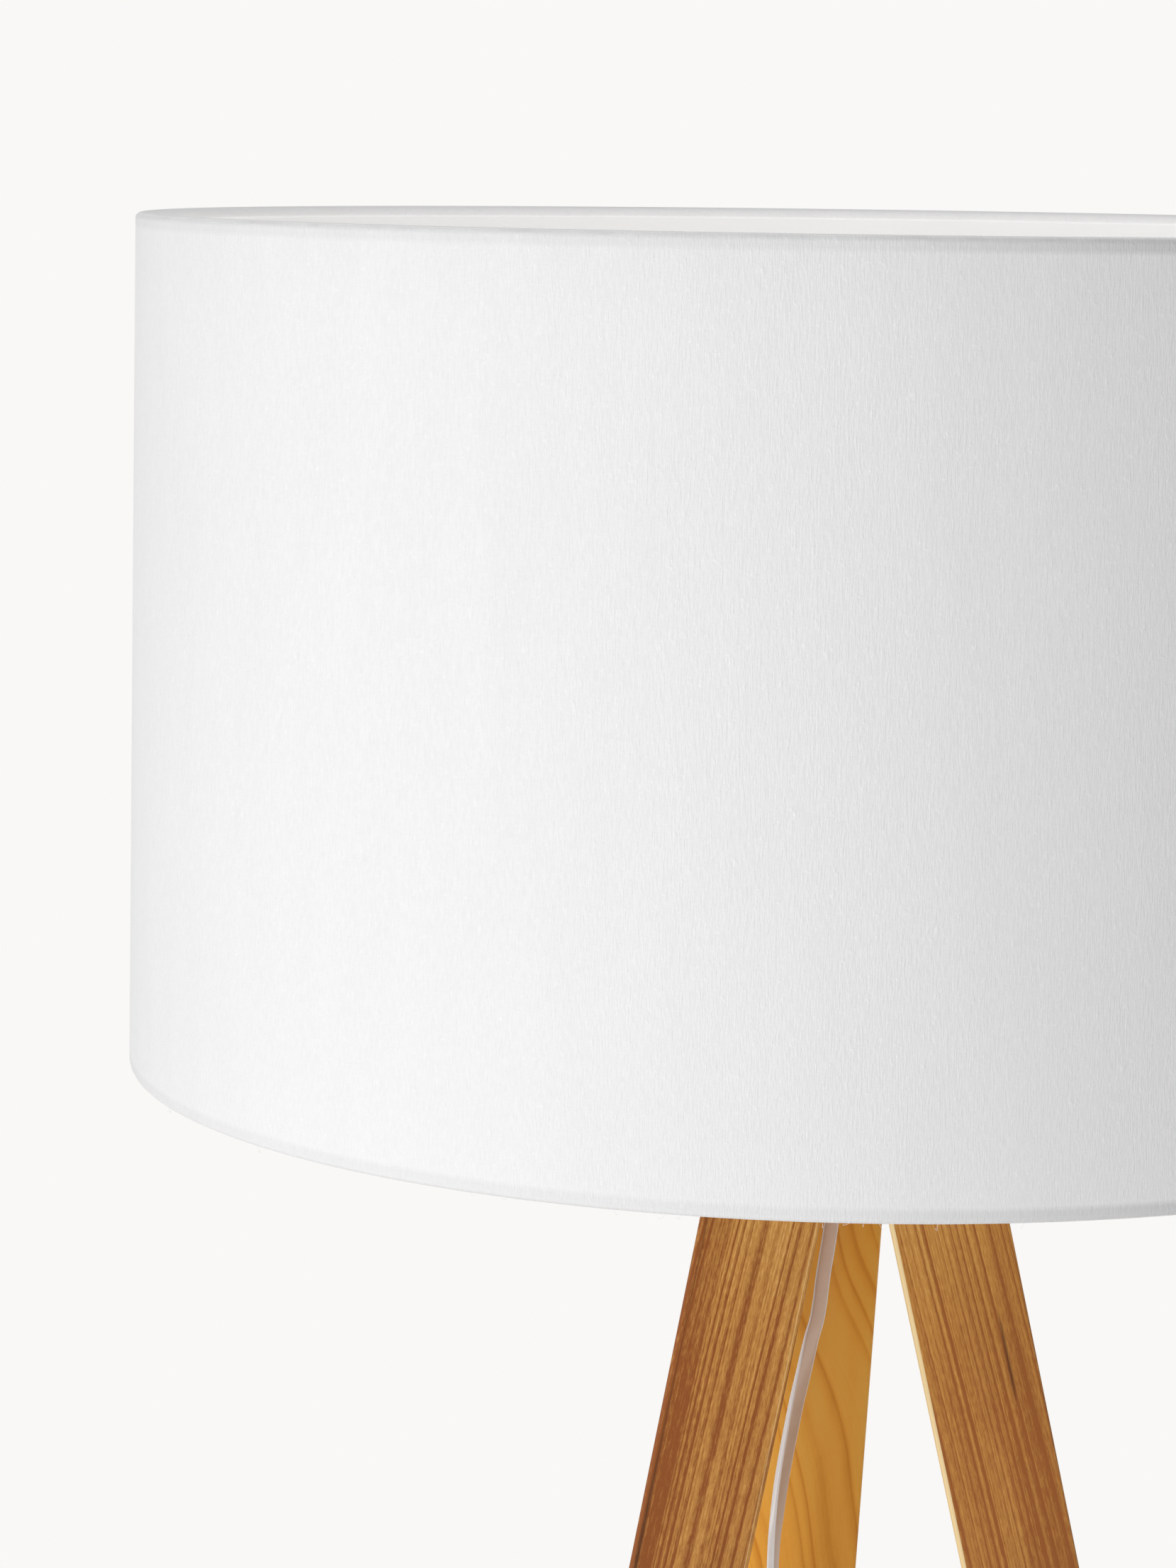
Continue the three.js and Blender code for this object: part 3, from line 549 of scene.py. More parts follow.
def lining_material():
    """The smooth film that the fabric is laminated to, with white emission painted on for the little light that
    comes through the cloth.
    """
    shader = Shader("shade_lining", Roughness=0.45, Specular_IOR_Level=0.4)
    # Painted light: white emission standing in for the light that comes through the cloth.
    shader.painted_glow(LINING_PAINTED_GLOW)
    x, y, z = shader.axes()
    clouds = shader.noise(shader.scaled(x, y, z, (14, 14, 9)), detail=3.0)
    shader.colour(shader.ramp(clouds, (0.3, (0.89, 0.89, 0.885)), (0.7, (0.93, 0.93, 0.925))))
    shader.bump(shader.noise(shader.scaled(x, y, z, (60, 60, 25)), detail=2.0), 0.25, 0.0006)
    return shader.material


def white_plastic_material():
    """Moulded plastic with a faint unevenness in tone and gloss."""
    shader = Shader("white_plastic", Specular_IOR_Level=0.5)
    shade = shader.noise(shader.position, scale=90.0, detail=3.0)
    colour = (0.86, 0.86, 0.84)
    darker = [c * 0.98 for c in colour]
    shader.colour(shader.ramp(shade, (0.35, darker), (0.65, colour)))
    dull = shader.noise(shader.position, scale=35.0, detail=2.0)
    shader.roughness(shader.ramp(dull, (0.3, 0.35), (0.7, 0.45)))
    shader.bump(shader.noise(shader.position, scale=1800.0, detail=2.0), 0.12, 0.00005)
    return shader.material


def metal(name, colour, roughness=0.32, stretch=(1, 1, 1)):
    """Metal with drawing marks, long in the direction where stretch is small."""
    shader = Shader(name, Metallic=1.0)
    x, y, z = shader.axes()
    marks = shader.noise(shader.scaled(x, y, z, [s * 700 for s in stretch]), detail=3.0, roughness=0.6)
    dull = shader.noise(shader.position, scale=60.0, detail=2.0)
    shader.colour(shader.ramp(dull, (0.3, [c * 0.88 for c in colour]), (0.7, colour)))
    shader.roughness(shader.ramp(marks, (0.3, roughness - 0.07), (0.7, roughness + 0.12)))
    shader.bump(marks, 0.15, 0.00004)
    return shader.material


def felt_material():
    shader = Shader("felt", Roughness=1.0, Specular_IOR_Level=0.1, Sheen_Weight=0.4)
    hairs = shader.noise(shader.position, scale=1400.0, detail=4.0, roughness=0.7, distortion=1.5)
    shader.colour(shader.ramp(hairs, (0.3, (0.07, 0.065, 0.06)), (0.7, (0.17, 0.16, 0.15))))
    shader.bump(hairs, 0.8, 0.0004)
    return shader.material


def opal_material():
    """The bulb's opal dome: milky all through."""
    shader = Shader("opal_plastic", Specular_IOR_Level=0.5, Subsurface_Weight=0.35, Subsurface_Scale=0.004)
    clouds = shader.noise(shader.position, scale=40.0, detail=2.0)
    shader.colour(shader.ramp(clouds, (0.3, (0.88, 0.87, 0.84)), (0.7, (0.93, 0.92, 0.89))))
    shader.roughness(shader.ramp(clouds, (0.3, 0.22), (0.7, 0.3)))
    shader.bump(shader.noise(shader.position, scale=900.0), 0.08, 0.00005)
    return shader.material


def cord_material():
    """A flat cord: milky white at its two round edges, taupe across its flat faces."""
    shader = Shader("cord_plastic", Specular_IOR_Level=0.5, Coat_Weight=0.25, Coat_Roughness=0.2)
    face = shader.attribute("flatness")
    clouds = shader.noise(shader.position, scale=160.0, detail=3.0)
    flat_face_tone = shader.ramp(clouds, (0.3, (0.69, 0.490, 0.350)), (0.7, (0.73, 0.525, 0.380)))
    edge = shader.ramp(clouds, (0.3, (0.94, 0.94, 0.94)), (0.7, (0.97, 0.97, 0.97)))
    shader.colour(shader.mix(shader.ramp(face, (0.72, 0.0), (0.97, 1.0)), edge, flat_face_tone))
    shader.roughness(shader.ramp(clouds, (0.3, 0.32), (0.7, 0.42)))
    shader.bump(shader.noise(shader.position, scale=1200.0), 0.1, 0.00005)
    return shader.material


# ------------------------------------------------------------------ cord

CORD_WIDTH = 5.2 * MM
CORD_THICKNESS = 3.1 * MM
CORD_CORNER = 0.9 * MM
CORD_STEP = 2.2 * MM
FLOOR_CORD_Z = 0.00185
ENTRY_Z = 0.00815
COIL_TURNS, COIL_OUTER, COIL_PITCH = 5.25, 0.0445, 0.00395
COIL_INNER = COIL_OUTER - COIL_TURNS * COIL_PITCH
COIL_Y = 0.195
COIL_CENTRE = Vector((0.0245, COIL_Y, 0.00375))
COIL_POINTS_PER_TURN = 24
CROSSING_Z = 0.00825
PLUG_Y, PLUG_Z = COIL_Y + COIL_INNER, 0.007

# Seen from the lamp's axis. The last three points of the hanging route run into the switch on the floor.
HANGING_ROUTE = [
    (0, 0, 1.1647), (0, 0, 1.158), (-0.0022, 0.0004, 1.151), (-0.004, 0.0007, 1.143),
    (-0.0045, 0.0008, 1.132), (-0.0059, 0.0011, 1.1186), (-0.0086, 0.0015, 1.1056), (-0.0112, 0.002, 1.0925),
    (-0.0138, 0.0025, 1.0795), (-0.0161, 0.0029, 1.066), (-0.0181, 0.0032, 1.053), (-0.0195, 0.0035, 1.04),
    (-0.0205, 0.0037, 1.027), (-0.021, 0.0037, 1.005), (-0.021, 0.0037, 0.95), (-0.0206, 0.0037, 0.8),
    (-0.0202, 0.0037, 0.6), (-0.02, 0.0037, 0.4), (-0.02, 0.0037, 0.2), (-0.02, 0.0037, 0.09),
    (-0.02, 0.005, 0.052), (-0.02, 0.009, 0.032), (-0.02, 0.017, 0.016), (-0.02, 0.029, 0.006),
    (-0.02, 0.042, 0.0024), (-0.02, 0.054, FLOOR_CORD_Z), (-0.02, 0.065, 0.005), (-0.02, 0.074, ENTRY_Z),
    (-0.02, 0.0797, ENTRY_Z),
]
MIDDLE_ROUTE = [
    (-0.02, 0.1403, ENTRY_Z), (-0.02, 0.145, ENTRY_Z), (-0.02, 0.156, 0.0054),
    (-0.02, 0.165, 0.0038), (-0.02, 0.1735, 0.0038),
]
END_ROUTE = [
    (0.0245, PLUG_Y, CROSSING_Z), (0.0445, PLUG_Y, CROSSING_Z), (0.0665, PLUG_Y, CROSSING_Z),
    (0.078, PLUG_Y, 0.0075), (0.0857, PLUG_Y, PLUG_Z),
]
# How far the hanging cord has twisted from facing the camera, at heights above the floor.
TWIST = [
    (1.165, -2), (1.117, 0), (1.104, 8), (1.091, 20), (1.078, 28), (1.065, 34), (1.052, 42), (1.039, 52),
    (1.032, 60), (1.026, 66), (1.018, 70), (0.95, 88), (0.6, 115), (0.2, 160), (0.06, 172),
]


def twist_at(z):
    for (high, first), (low, second) in zip(TWIST, TWIST[1:]):
        if low <= z <= high:
            return math.radians(second + (first - second) * (z - low) / (high - low))
    return math.radians(TWIST[0][1] if z > TWIST[0][0] else 180.0)


def coil_route():
    """Points round the coil from outside to inside, each with the direction of the cord's width. The last
    part of the inmost turn climbs onto the others and lies down flat."""
    count = round(COIL_TURNS * COIL_POINTS_PER_TURN)
    climb = COIL_POINTS_PER_TURN // 2
    for i in range(1, count):
        angle = math.pi - 2 * math.pi * i / COIL_POINTS_PER_TURN
        rise = max(0.0, (i - count + climb) / climb)
        rise = rise * rise * (3 - 2 * rise)
        radius = COIL_OUTER - COIL_PITCH * i / COIL_POINTS_PER_TURN - 2.2 * MM * math.sin(math.pi * rise)
        outward = Vector((math.cos(angle), math.sin(angle), 0))
        point = COIL_CENTRE + outward * radius
        point.z += (CROSSING_Z - COIL_CENTRE.z) * rise
        lie = math.pi / 2 * max(0.0, 2 * rise - 1)
        yield point, Vector((0, 0, math.cos(lie))) + outward * math.sin(lie)


def cord_route():
    """Each point of the cord with the direction of its width, seen from the lamp's axis."""
    route = []
    for point in HANGING_ROUTE:
        twist = twist_at(point[2])
        route.append((Vector(point), VIEW_RIGHT * math.cos(twist) + VIEW_AWAY * math.sin(twist)))
    flat = Vector((-1, 0, 0))
    for k in range(1, 8):
        y = HANGING_ROUTE[-1][1] + (MIDDLE_ROUTE[0][1] - HANGING_ROUTE[-1][1]) * k / 8
        route.append((Vector((-0.02, y, ENTRY_Z)), flat))
    for k, point in enumerate(MIDDLE_ROUTE):
        turn = math.pi / 2 * min(1.0, k / 3)
        route.append((Vector(point), flat * math.cos(turn) + Vector((0, 0, math.sin(turn)))))
    route.append((Vector((-0.02, COIL_CENTRE.y - 0.008, COIL_CENTRE.z)), Vector((0, 0, 1))))
    route.extend(coil_route())
    route.extend((Vector(point), Vector((0, 1, 0))) for point in END_ROUTE)
    return route


def flat_section(per_corner=5):
    """The cord's section, a rounded rectangle, as (across, through, how flat the side is there) points."""
    across, through = CORD_WIDTH / 2 - CORD_CORNER, CORD_THICKNESS / 2 - CORD_CORNER
    points = []
    for corner, (u, v) in enumerate(((1, 1), (-1, 1), (-1, -1), (1, -1))):
        for i in range(per_corner):
            angle = math.pi / 2 * (corner + i / (per_corner - 1))
            x = u * across + CORD_CORNER * math.cos(angle)
            y = v * through + CORD_CORNER * math.sin(angle)
            points.append((x, y, abs(math.sin(angle))))
    return points


def relaxed(line, longest_reach=14):
    """The line with the slight corners at the route points taken out of its hanging stretch."""
    out = list(line)
    for i in range(1, len(line) - longest_reach):
        if line[i][2] > 0.9:
            reach = min(i, longest_reach)
            near = line[i - reach:i + reach + 1]
            out[i] = sum(near[1:], near[0]) / len(near)
    return out


def make_cord(material):
    route = cord_route()
    line = relaxed(smooth_line([(*point, *width) for point, width in route], CORD_STEP))
    path = [AXIS + Vector(sample[:3]) for sample in line]
    widths = [Vector(sample[3:]) for sample in line]
    section = flat_section()
    obj = piece(
        "cord", swept(path, [point[:2] for point in section], widths), material, "stand",
        ["cord_hanging", "cord_middle", "cord_coil", "cord_end"],
    )
    flatness = obj.data.attributes.new("flatness", "FLOAT", "POINT")
    for i in range(len(obj.data.vertices)):
        flatness.data[i].value = section[i % len(section)][2]
    length = sum((b - a).length for a, b in zip(path, path[1:]))
    return obj, path, length


# ------------------------------------------------------------------ legs and hub

LEG_APEX_Z = RIM_Z + 0.1056
LEG_SPREAD = 0.2437
LEG_SIDE_TOP, LEG_SIDE_FOOT = 0.0454, 0.0346
ARRIS_SHARE = 0.03
LEG_AZIMUTHS = {"left": -150, "right": -30, "rear": 90}
LEG_SCREW_Z = RIM_Z - 5 * MM
LEG_SCREW_SEAT = 0.041
PLATE_HIGH = LEG_TOP_Z + 3.3 * MM
PLATE_SCREW_RADIUS = 0.022


def leg_side(z):
    share = (z - LEG_FOOT_Z) / (LEG_TOP_Z - LEG_FOOT_Z)
    return LEG_SIDE_FOOT + (LEG_SIDE_TOP - LEG_SIDE_FOOT) * share


def leg_radius(z):
    return (LEG_APEX_Z - z) * LEG_SPREAD


def rounded_triangle(side, per_corner=9):
    """Points round a triangle that points to +X, its corners rounded."""
    round_ = side * ARRIS_SHARE
    reach = side / math.sqrt(3) - 2 * round_
    points = []
    for corner in range(3):
        middle = corner * 2 * math.pi / 3
        for i in range(per_corner):
            angle = middle - math.pi / 3 + 2 * math.pi / 3 * i / (per_corner - 1)
            x = reach * math.cos(middle) + round_ * math.cos(angle)
            y = reach * math.sin(middle) + round_ * math.sin(angle)
            points.append((x, y))
    return points


def leg_shape():
    """One leg, with its outer arris towards +X: the mitres at its head and the bore for its screw are cut."""
    chamfer = 1.0 * MM
    heights = [LEG_FOOT_Z, LEG_FOOT_Z + chamfer]
    heights += [LEG_FOOT_Z + chamfer + (LEG_TOP_Z - LEG_FOOT_Z - chamfer) * i / 16 for i in range(1, 17)]
    rings = []
    for i, z in enumerate(heights):
        side = leg_side(z) - (2.4 * MM if i == 0 else 0.0)
        rings.append([(leg_radius(z) + x, y, z) for x, y in rounded_triangle(side)])
    bm = loft(rings)
    start = GAP / 2 / math.sin(math.pi / 3)
    for sign in (1, -1):
        normal = (-math.sin(math.pi / 3), sign * math.cos(math.pi / 3), 0)
        result = bmesh.ops.bisect_plane(
            bm, geom=bm.verts[:] + bm.edges[:] + bm.faces[:], plane_co=(start, 0, 0), plane_no=normal,
            clear_outer=True,
        )
        cut = [e for e in result["geom_cut"] if isinstance(e, bmesh.types.BMEdge)]
        bmesh.ops.holes_fill(bm, edges=cut)
    side_bore = turned([(0, 0), (5.6 * MM, 0), (5.6 * MM, 0.03), (0, 0.03)], 48)
    turn = Matrix.Translation((LEG_SCREW_SEAT - GAP, 0, LEG_SCREW_Z)) @ Matrix.Rotation(math.pi / 2, 4, "Y")
    return cut_away(bm, placed(side_bore, turn))


def make_legs(materials):
    for place, azimuth in LEG_AZIMUTHS.items():
        turn = Matrix.Translation(AXIS) @ Matrix.Rotation(math.radians(azimuth), 4, "Z")
        mesh = leg_shape()
        mesh.transform(turn)
        piece(f"leg_{place}_wood", mesh, materials[place], "stand", [f"leg_{place}"])
        make_foot_pad(place, turn, materials["felt"])
        make_leg_screws(place, turn, materials["steel"])


def make_foot_pad(place, turn, material):
    side = LEG_SIDE_FOOT * 0.92
    rings = []
    for z, inset in ((0, 0.8), (0.5, 0), (2.3, 0), (2.7, 0.8)):
        ring = rounded_triangle(side - inset * MM)
        rings.append([turn @ Vector((leg_radius(LEG_FOOT_Z) + x, y, z * MM)) for x, y in ring])
    piece(f"felt_pad_{place}", loft(rings), material, "stand", [f"foot_pad_{place}"])


def screw_shape(head_radius, head_height, shank_radius, shank_length):
    """A pan-head screw with a hexagon socket. Its head rests on z = 0 and its shank points down."""
    socket = head_radius * 0.42
    outline = [
        (0, -shank_length), (shank_radius, 1.5 * shank_radius - shank_length), (shank_radius, 0),
        (head_radius, 0), (head_radius, head_height * 0.5), (head_radius * 0.9, head_height * 0.85),
        (head_radius * 0.7, head_height), (socket * 1.25, head_height),
        (socket, head_height * 0.93, "hexagon"), (socket, head_height * 0.45, "hexagon"),
        (0, head_height * 0.4),
    ]
    return turned(outline, 48)


def make_leg_screws(place, turn, material):
    sideways = Matrix.Translation((LEG_SCREW_SEAT, 0, LEG_SCREW_Z)) @ Matrix.Rotation(math.pi / 2, 4, "Y")
    side = placed(screw_shape(4.6 * MM, 3 * MM, 2 * MM, LEG_SCREW_SEAT - 6.4 * MM), turn @ sideways)
    piece(f"side_screw_{place}", side, material, "stand", [f"leg_screw_{place}"])
    upright = Matrix.Translation((PLATE_SCREW_RADIUS, 0, PLATE_HIGH + GAP))
    top = placed(screw_shape(4.5 * MM, 3.2 * MM, 2.2 * MM, 0.026), turn @ upright)
    piece(f"top_screw_{place}", top, material, "stand", [f"plate_screw_{place}"])


TUBE_RADIUS, TUBE_BORE = 5 * MM, 3.9 * MM


def ring_outline(inner, outer, low, high):
    return eased([(inner, low), (outer, low), (outer, high), (inner, high)], 0.35 * MM)


def nut_outline(hole, half_width, low, high):
    chamfer = 0.5 * MM
    return [
        (hole, low), (half_width, low), (half_width, low + chamfer, "hexagon"),
        (half_width, high - chamfer, "hexagon"), (half_width, high), (hole, high),
    ]


def make_hub(materials):
    steel = materials["steel"]
    block_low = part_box("hub_block")[0].z
    plate_low = PLATE_HIGH - 3 * MM
    nut_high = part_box("upper_nut")[1].z
    rings = {
        "top_plate": (TUBE_RADIUS + GAP, 0.040, plate_low, PLATE_HIGH),
        "lower_washer": (TUBE_RADIUS + GAP, 0.0105, block_low - 1.8 * MM, block_low - GAP),
        "upper_washer": (TUBE_RADIUS + GAP, 0.0105, PLATE_HIGH + GAP, PLATE_HIGH + 1.8 * MM),
    }
    for node, sizes in rings.items():
        turned_piece(f"{node}_steel", ring_outline(*sizes), steel, "stand", node)
    nuts = {
        "lower_nut": (RIM_Z - 21 * MM, block_low - 2.1 * MM),
        "upper_nut": (PLATE_HIGH + 2.1 * MM, nut_high),
    }
    for node, (low, high) in nuts.items():
        outline = nut_outline(TUBE_RADIUS + GAP, 7 * MM, low, high)
        turned_piece(f"{node}_steel", outline, steel, "stand", node)
    tube_low, tube_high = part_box("threaded_tube")[0].z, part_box("threaded_tube")[1].z
    outline = [(TUBE_BORE, tube_high), (TUBE_BORE, tube_low)]
    outline += threaded_rows(TUBE_RADIUS, tube_low, tube_high)
    turned_piece("threaded_tube_steel", outline, steel, "stand", "threaded_tube", 36)
    gland = [
        (3.5, 0), (4.4, 0), (4.7, 2), (4.4, 2.6), (4.9, 3.4), (4.6, 4.2), (5.1, 5.2), (4.9, 6.2), (5.5, 8),
        (7.3, 11), (7.8, 12), (7.8, 20.7), (5.3, 20.7), (5.3, 12.5), (3.5, 12.5),
    ]
    outline = eased([(r * MM, z * MM) for r, z in gland], 0.5 * MM)
    shape = on_axis(turned(outline, 48), GLAND_LOW)
    piece("cord_gland_plastic", shape, materials["white"], "stand", ["cord_gland"])


# ------------------------------------------------------------------ lampholder and bulb

HOLDER_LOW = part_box("lampholder_cap")[0].z
HOLDER_SEAM, HOLDER_HIGH = HOLDER_BOX[0].z, HOLDER_BOX[1].z
HOLDER_RADIUS, HOLDER_BORE, FLANGE_RADIUS = 19.75 * MM, 15.6 * MM, 23.5 * MM
CLAMP_LOW, CLAMP_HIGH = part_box("clamp_ring")[0].z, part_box("clamp_ring")[1].z
BULB_TIP_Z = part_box("bulb_cap")[0].z
BULB_NECK_Z, BULB_SEAM_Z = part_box("bulb_body")[0].z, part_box("bulb_body")[1].z
BULB_TOP_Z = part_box("bulb_diffuser")[1].z
BULB_RADIUS = 0.030


def make_lampholder(materials):
    white = materials["white"]
    low, seam = HOLDER_LOW, HOLDER_SEAM
    wall = HOLDER_RADIUS - 1.8 * MM
    cap = eased([
        (TUBE_RADIUS + GAP, low), (7.6 * MM, low), (7.8 * MM, low + 7 * MM), (17.5 * MM, low + 12.5 * MM),
        (HOLDER_RADIUS, low + 16 * MM), (HOLDER_RADIUS, seam - GAP), (wall, seam - GAP),
        (wall, low + 16.5 * MM), (16 * MM, low + 14 * MM), (7 * MM, low + 10 * MM),
        (TUBE_RADIUS + GAP, low + 10 * MM),
    ], 0.9 * MM)
    turned_piece("lampholder_cap_plastic", cap, white, "stand", "lampholder_cap")
    flange = seam + 3 * MM
    body = eased([
        (HOLDER_BORE, HOLDER_HIGH), (HOLDER_BORE, seam), (FLANGE_RADIUS, seam), (FLANGE_RADIUS, flange),
        (HOLDER_RADIUS, flange),
    ], 0.5 * MM)
    body = [(HOLDER_BORE, HOLDER_HIGH - 0.8 * MM), *body[4:-4], (HOLDER_RADIUS, flange)]
    body += threaded_rows(HOLDER_RADIUS, flange + 0.4 * MM, HOLDER_HIGH - 2 * MM)
    body += [(HOLDER_RADIUS - 1.0 * MM, HOLDER_HIGH), (16.2 * MM, HOLDER_HIGH)]
    turned_piece("lampholder_body_plastic", body, white, "stand", "lampholder_body")
    ring_bore = HOLDER_RADIUS + 0.4 * MM
    ring = [
        (ring_bore, CLAMP_LOW), (27.6 * MM, CLAMP_LOW), (27.6 * MM, CLAMP_LOW + 2.0 * MM, "ribbed"),
        (24.0 * MM, CLAMP_LOW + 3.4 * MM, "ribbed"), (23.2 * MM, CLAMP_LOW + 4.6 * MM, "ribbed"),
        (22.8 * MM, CLAMP_HIGH - 0.6 * MM, "ribbed"), (22.2 * MM, CLAMP_HIGH), (ring_bore, CLAMP_HIGH),
    ]
    turned_piece("clamp_ring_plastic", ring, white, "clamp_ring", "clamp_ring", 288)


def make_bulb(materials):
    tip = BULB_TIP_Z
    thread_low, thread_high = tip + 6.0 * MM, BULB_NECK_Z - 2.5 * MM
    cap = eased([
        (0, tip), (4 * MM, tip + 0.3 * MM), (5 * MM, tip + 1.8 * MM), (9.5 * MM, tip + 4.2 * MM),
        (12.2 * MM, tip + 5.4 * MM),
    ], 0.4 * MM)[:-1]
    cap += threaded_rows(13 * MM, thread_low, thread_high)
    cap += [(12.8 * MM, BULB_NECK_Z - 1.4 * MM), (13 * MM, BULB_NECK_Z - GAP), (0, BULB_NECK_Z - GAP)]
    turned_piece("bulb_cap_metal", cap, materials["bulb_cap"], "bulb", "bulb_cap")
    neck, seam = BULB_NECK_Z, BULB_SEAM_Z
    body = [(0, neck), (13.6 * MM, neck), (14.5 * MM, neck + 5 * MM)]
    for i in range(1, 11):
        body.append(((14.5 + 14.8 * math.sin(math.pi / 2 * i / 10)) * MM, neck + (5 + 3.1 * i) * MM))
    body += [(29.3 * MM, seam), (0, seam)]
    body = eased(body, 0.6 * MM)
    turned_piece("bulb_body_plastic", body, materials["white"], "bulb", "bulb_body")
    dome = [(BULB_RADIUS - 1.4 * MM, seam + GAP), (BULB_RADIUS - 0.5 * MM, seam + GAP)]
    shoulder = seam + 12 * MM
    for radius, order in ((BULB_RADIUS, range(25)), (BULB_RADIUS - 1.2 * MM, range(24, -1, -1))):
        rise = (BULB_TOP_Z - shoulder) * radius / BULB_RADIUS
        for i in order:
            angle = math.pi / 2 * i / 24
            dome.append((radius * math.cos(angle) if i < 24 else 0.0, shoulder + rise * math.sin(angle)))
    turned_piece("bulb_dome_opal", dome, materials["opal"], "bulb", "bulb_diffuser")


# ------------------------------------------------------------------ shade

FABRIC_THICKNESS = 0.6 * MM
WIRE_RADIUS = 1.4 * MM
ROLL_INNER = WIRE_RADIUS + GAP
ROLL_OUTER = ROLL_INNER + FABRIC_THICKNESS
ROLL_TURN = 1.45 * math.pi
TOP_WIRE = (TOP_RADIUS - ROLL_OUTER, TOP_Z - ROLL_OUTER)
BOTTOM_WIRE = (BOTTOM_RADIUS - ROLL_OUTER, RIM_Z + ROLL_OUTER)
SHADE_SEGMENTS = 288
ARM_AZIMUTHS = [30, 150, 270]
ARM_RADIUS = 1.9 * MM
ARM_NOTCH = (4.6 * MM, 6 * MM, 9 * MM)
SEAM_AZIMUTH = math.pi / 2
# The overlap's section: across it, as a share of half its width, and millimetres proud of the fabric's face
SEAM_SECTION = [
    (-1, 0.02), (-0.86, 0.42), (-0.3, 0.5), (0.3, 0.5), (0.86, 0.45), (1, 0.3), (1, -0.3), (-1, -0.3),
]


def wall_radius(z):
    return BOTTOM_RADIUS + (TOP_RADIUS - BOTTOM_RADIUS) * (z - RIM_Z) / (TOP_Z - RIM_Z)


def rolled_edge(wire, up, radius, steps=14):
    """A rim's roll round the wire as (radius, z) points, from the outside of the shade over to its inside."""
    points = []
    for i in range(steps + 1):
        angle = ROLL_TURN * i / steps
        points.append((wire[0] + radius * math.cos(angle), wire[1] + up * radius * math.sin(angle)))
    return points


def wall_points(start, stop, count=12):
    """The points between start and stop, which are left out."""
    return [tuple(a + (b - a) * i / count for a, b in zip(start, stop)) for i in range(1, count)]


def fabric_outline():
    """The fabric's whole section, from the lower roll up the inner side and down the outer side."""
    outer_low = rolled_edge(BOTTOM_WIRE, -1, ROLL_OUTER)
    inner_low = rolled_edge(BOTTOM_WIRE, -1, ROLL_INNER)[::-1]
    inner_high = rolled_edge(TOP_WIRE, 1, ROLL_INNER)
    outer_high = rolled_edge(TOP_WIRE, 1, ROLL_OUTER)[::-1]
    inner_wall = wall_points(inner_low[-1], inner_high[0])
    outer_wall = wall_points(outer_high[-1], outer_low[0])
    return [*outer_low, *inner_low, *inner_wall, *inner_high, *outer_high, *outer_wall]


def uneven(x, y, z):
    """How far the hand-laid fabric stands off its true place: waves along the rims and small creases."""
    angle = math.atan2(y, x)
    edge = min(z - RIM_Z, TOP_Z - z)
    near_rim = max(0.0, 1 - edge / 0.012)
    wave = noise.noise(Vector((math.cos(angle) * 7, math.sin(angle) * 7, z * 3)))
    crease = noise.noise(Vector((math.cos(angle) * 55, math.sin(angle) * 55, z * 60 + angle * 4)))
    return (0.10 * wave + 0.16 * near_rim * crease) * MM


def make_shade_fabric(material):
    bm = turned(fabric_outline(), SHADE_SEGMENTS)
    for vertex in bm.verts:
        x, y, z = vertex.co
        reach = math.hypot(x, y)
        inside = reach < BOTTOM_RADIUS - 2.4 * MM and (z > TOP_Z - 9 * MM or z < RIM_Z + 9 * MM)
        factor = 2.2 if inside else 1.0
        moved = min(reach + factor * uneven(x, y, z), wall_radius(z))
        vertex.co.x, vertex.co.y = x * moved / reach, y * moved / reach
    notches = []
    for azimuth in ARM_AZIMUTHS:
        notch = bmesh.new()
        bmesh.ops.create_cube(notch, size=1.0)
        middle = Vector((BOTTOM_WIRE[0] - ROLL_INNER - 1.9 * MM, 0, BOTTOM_WIRE[1] + 1.6 * MM))
        turn = Matrix.Rotation(math.radians(azimuth), 4, "Z") @ Matrix.Translation(middle)
        notches.append(placed(notch, turn @ Matrix.Diagonal((*ARM_NOTCH, 1.0))))
    mesh = cut_away(bm, *notches)
    mesh.transform(Matrix.Translation(AXIS))
    return piece("shade_cloth", mesh, material, "shade", ["shade_fabric"])


def make_shade_seam(material):
    """The glued overlap where the fabric's two ends meet, at the back: a strip that stands a little proud."""
    half = 6 * MM / BOTTOM_RADIUS
    rings = []
    levels = 26
    for i in range(levels + 1):
        share = i / levels
        z = RIM_Z + 1.2 * MM + (TOP_Z - RIM_Z - 2.4 * MM) * share
        edge = 0.35 * MM * noise.noise(Vector((0.3, 0.7, z * 90)))
        ring = []
        for step, proud in SEAM_SECTION:
            angle = SEAM_AZIMUTH + half * step + (edge / BOTTOM_RADIUS if step > 0.8 else 0)
            reach = wall_radius(z) + proud * MM
            ring.append(AXIS + Vector((reach * math.cos(angle), reach * math.sin(angle), z)))
        rings.append(ring)
    return piece("shade_seam", loft(rings), material, "shade")


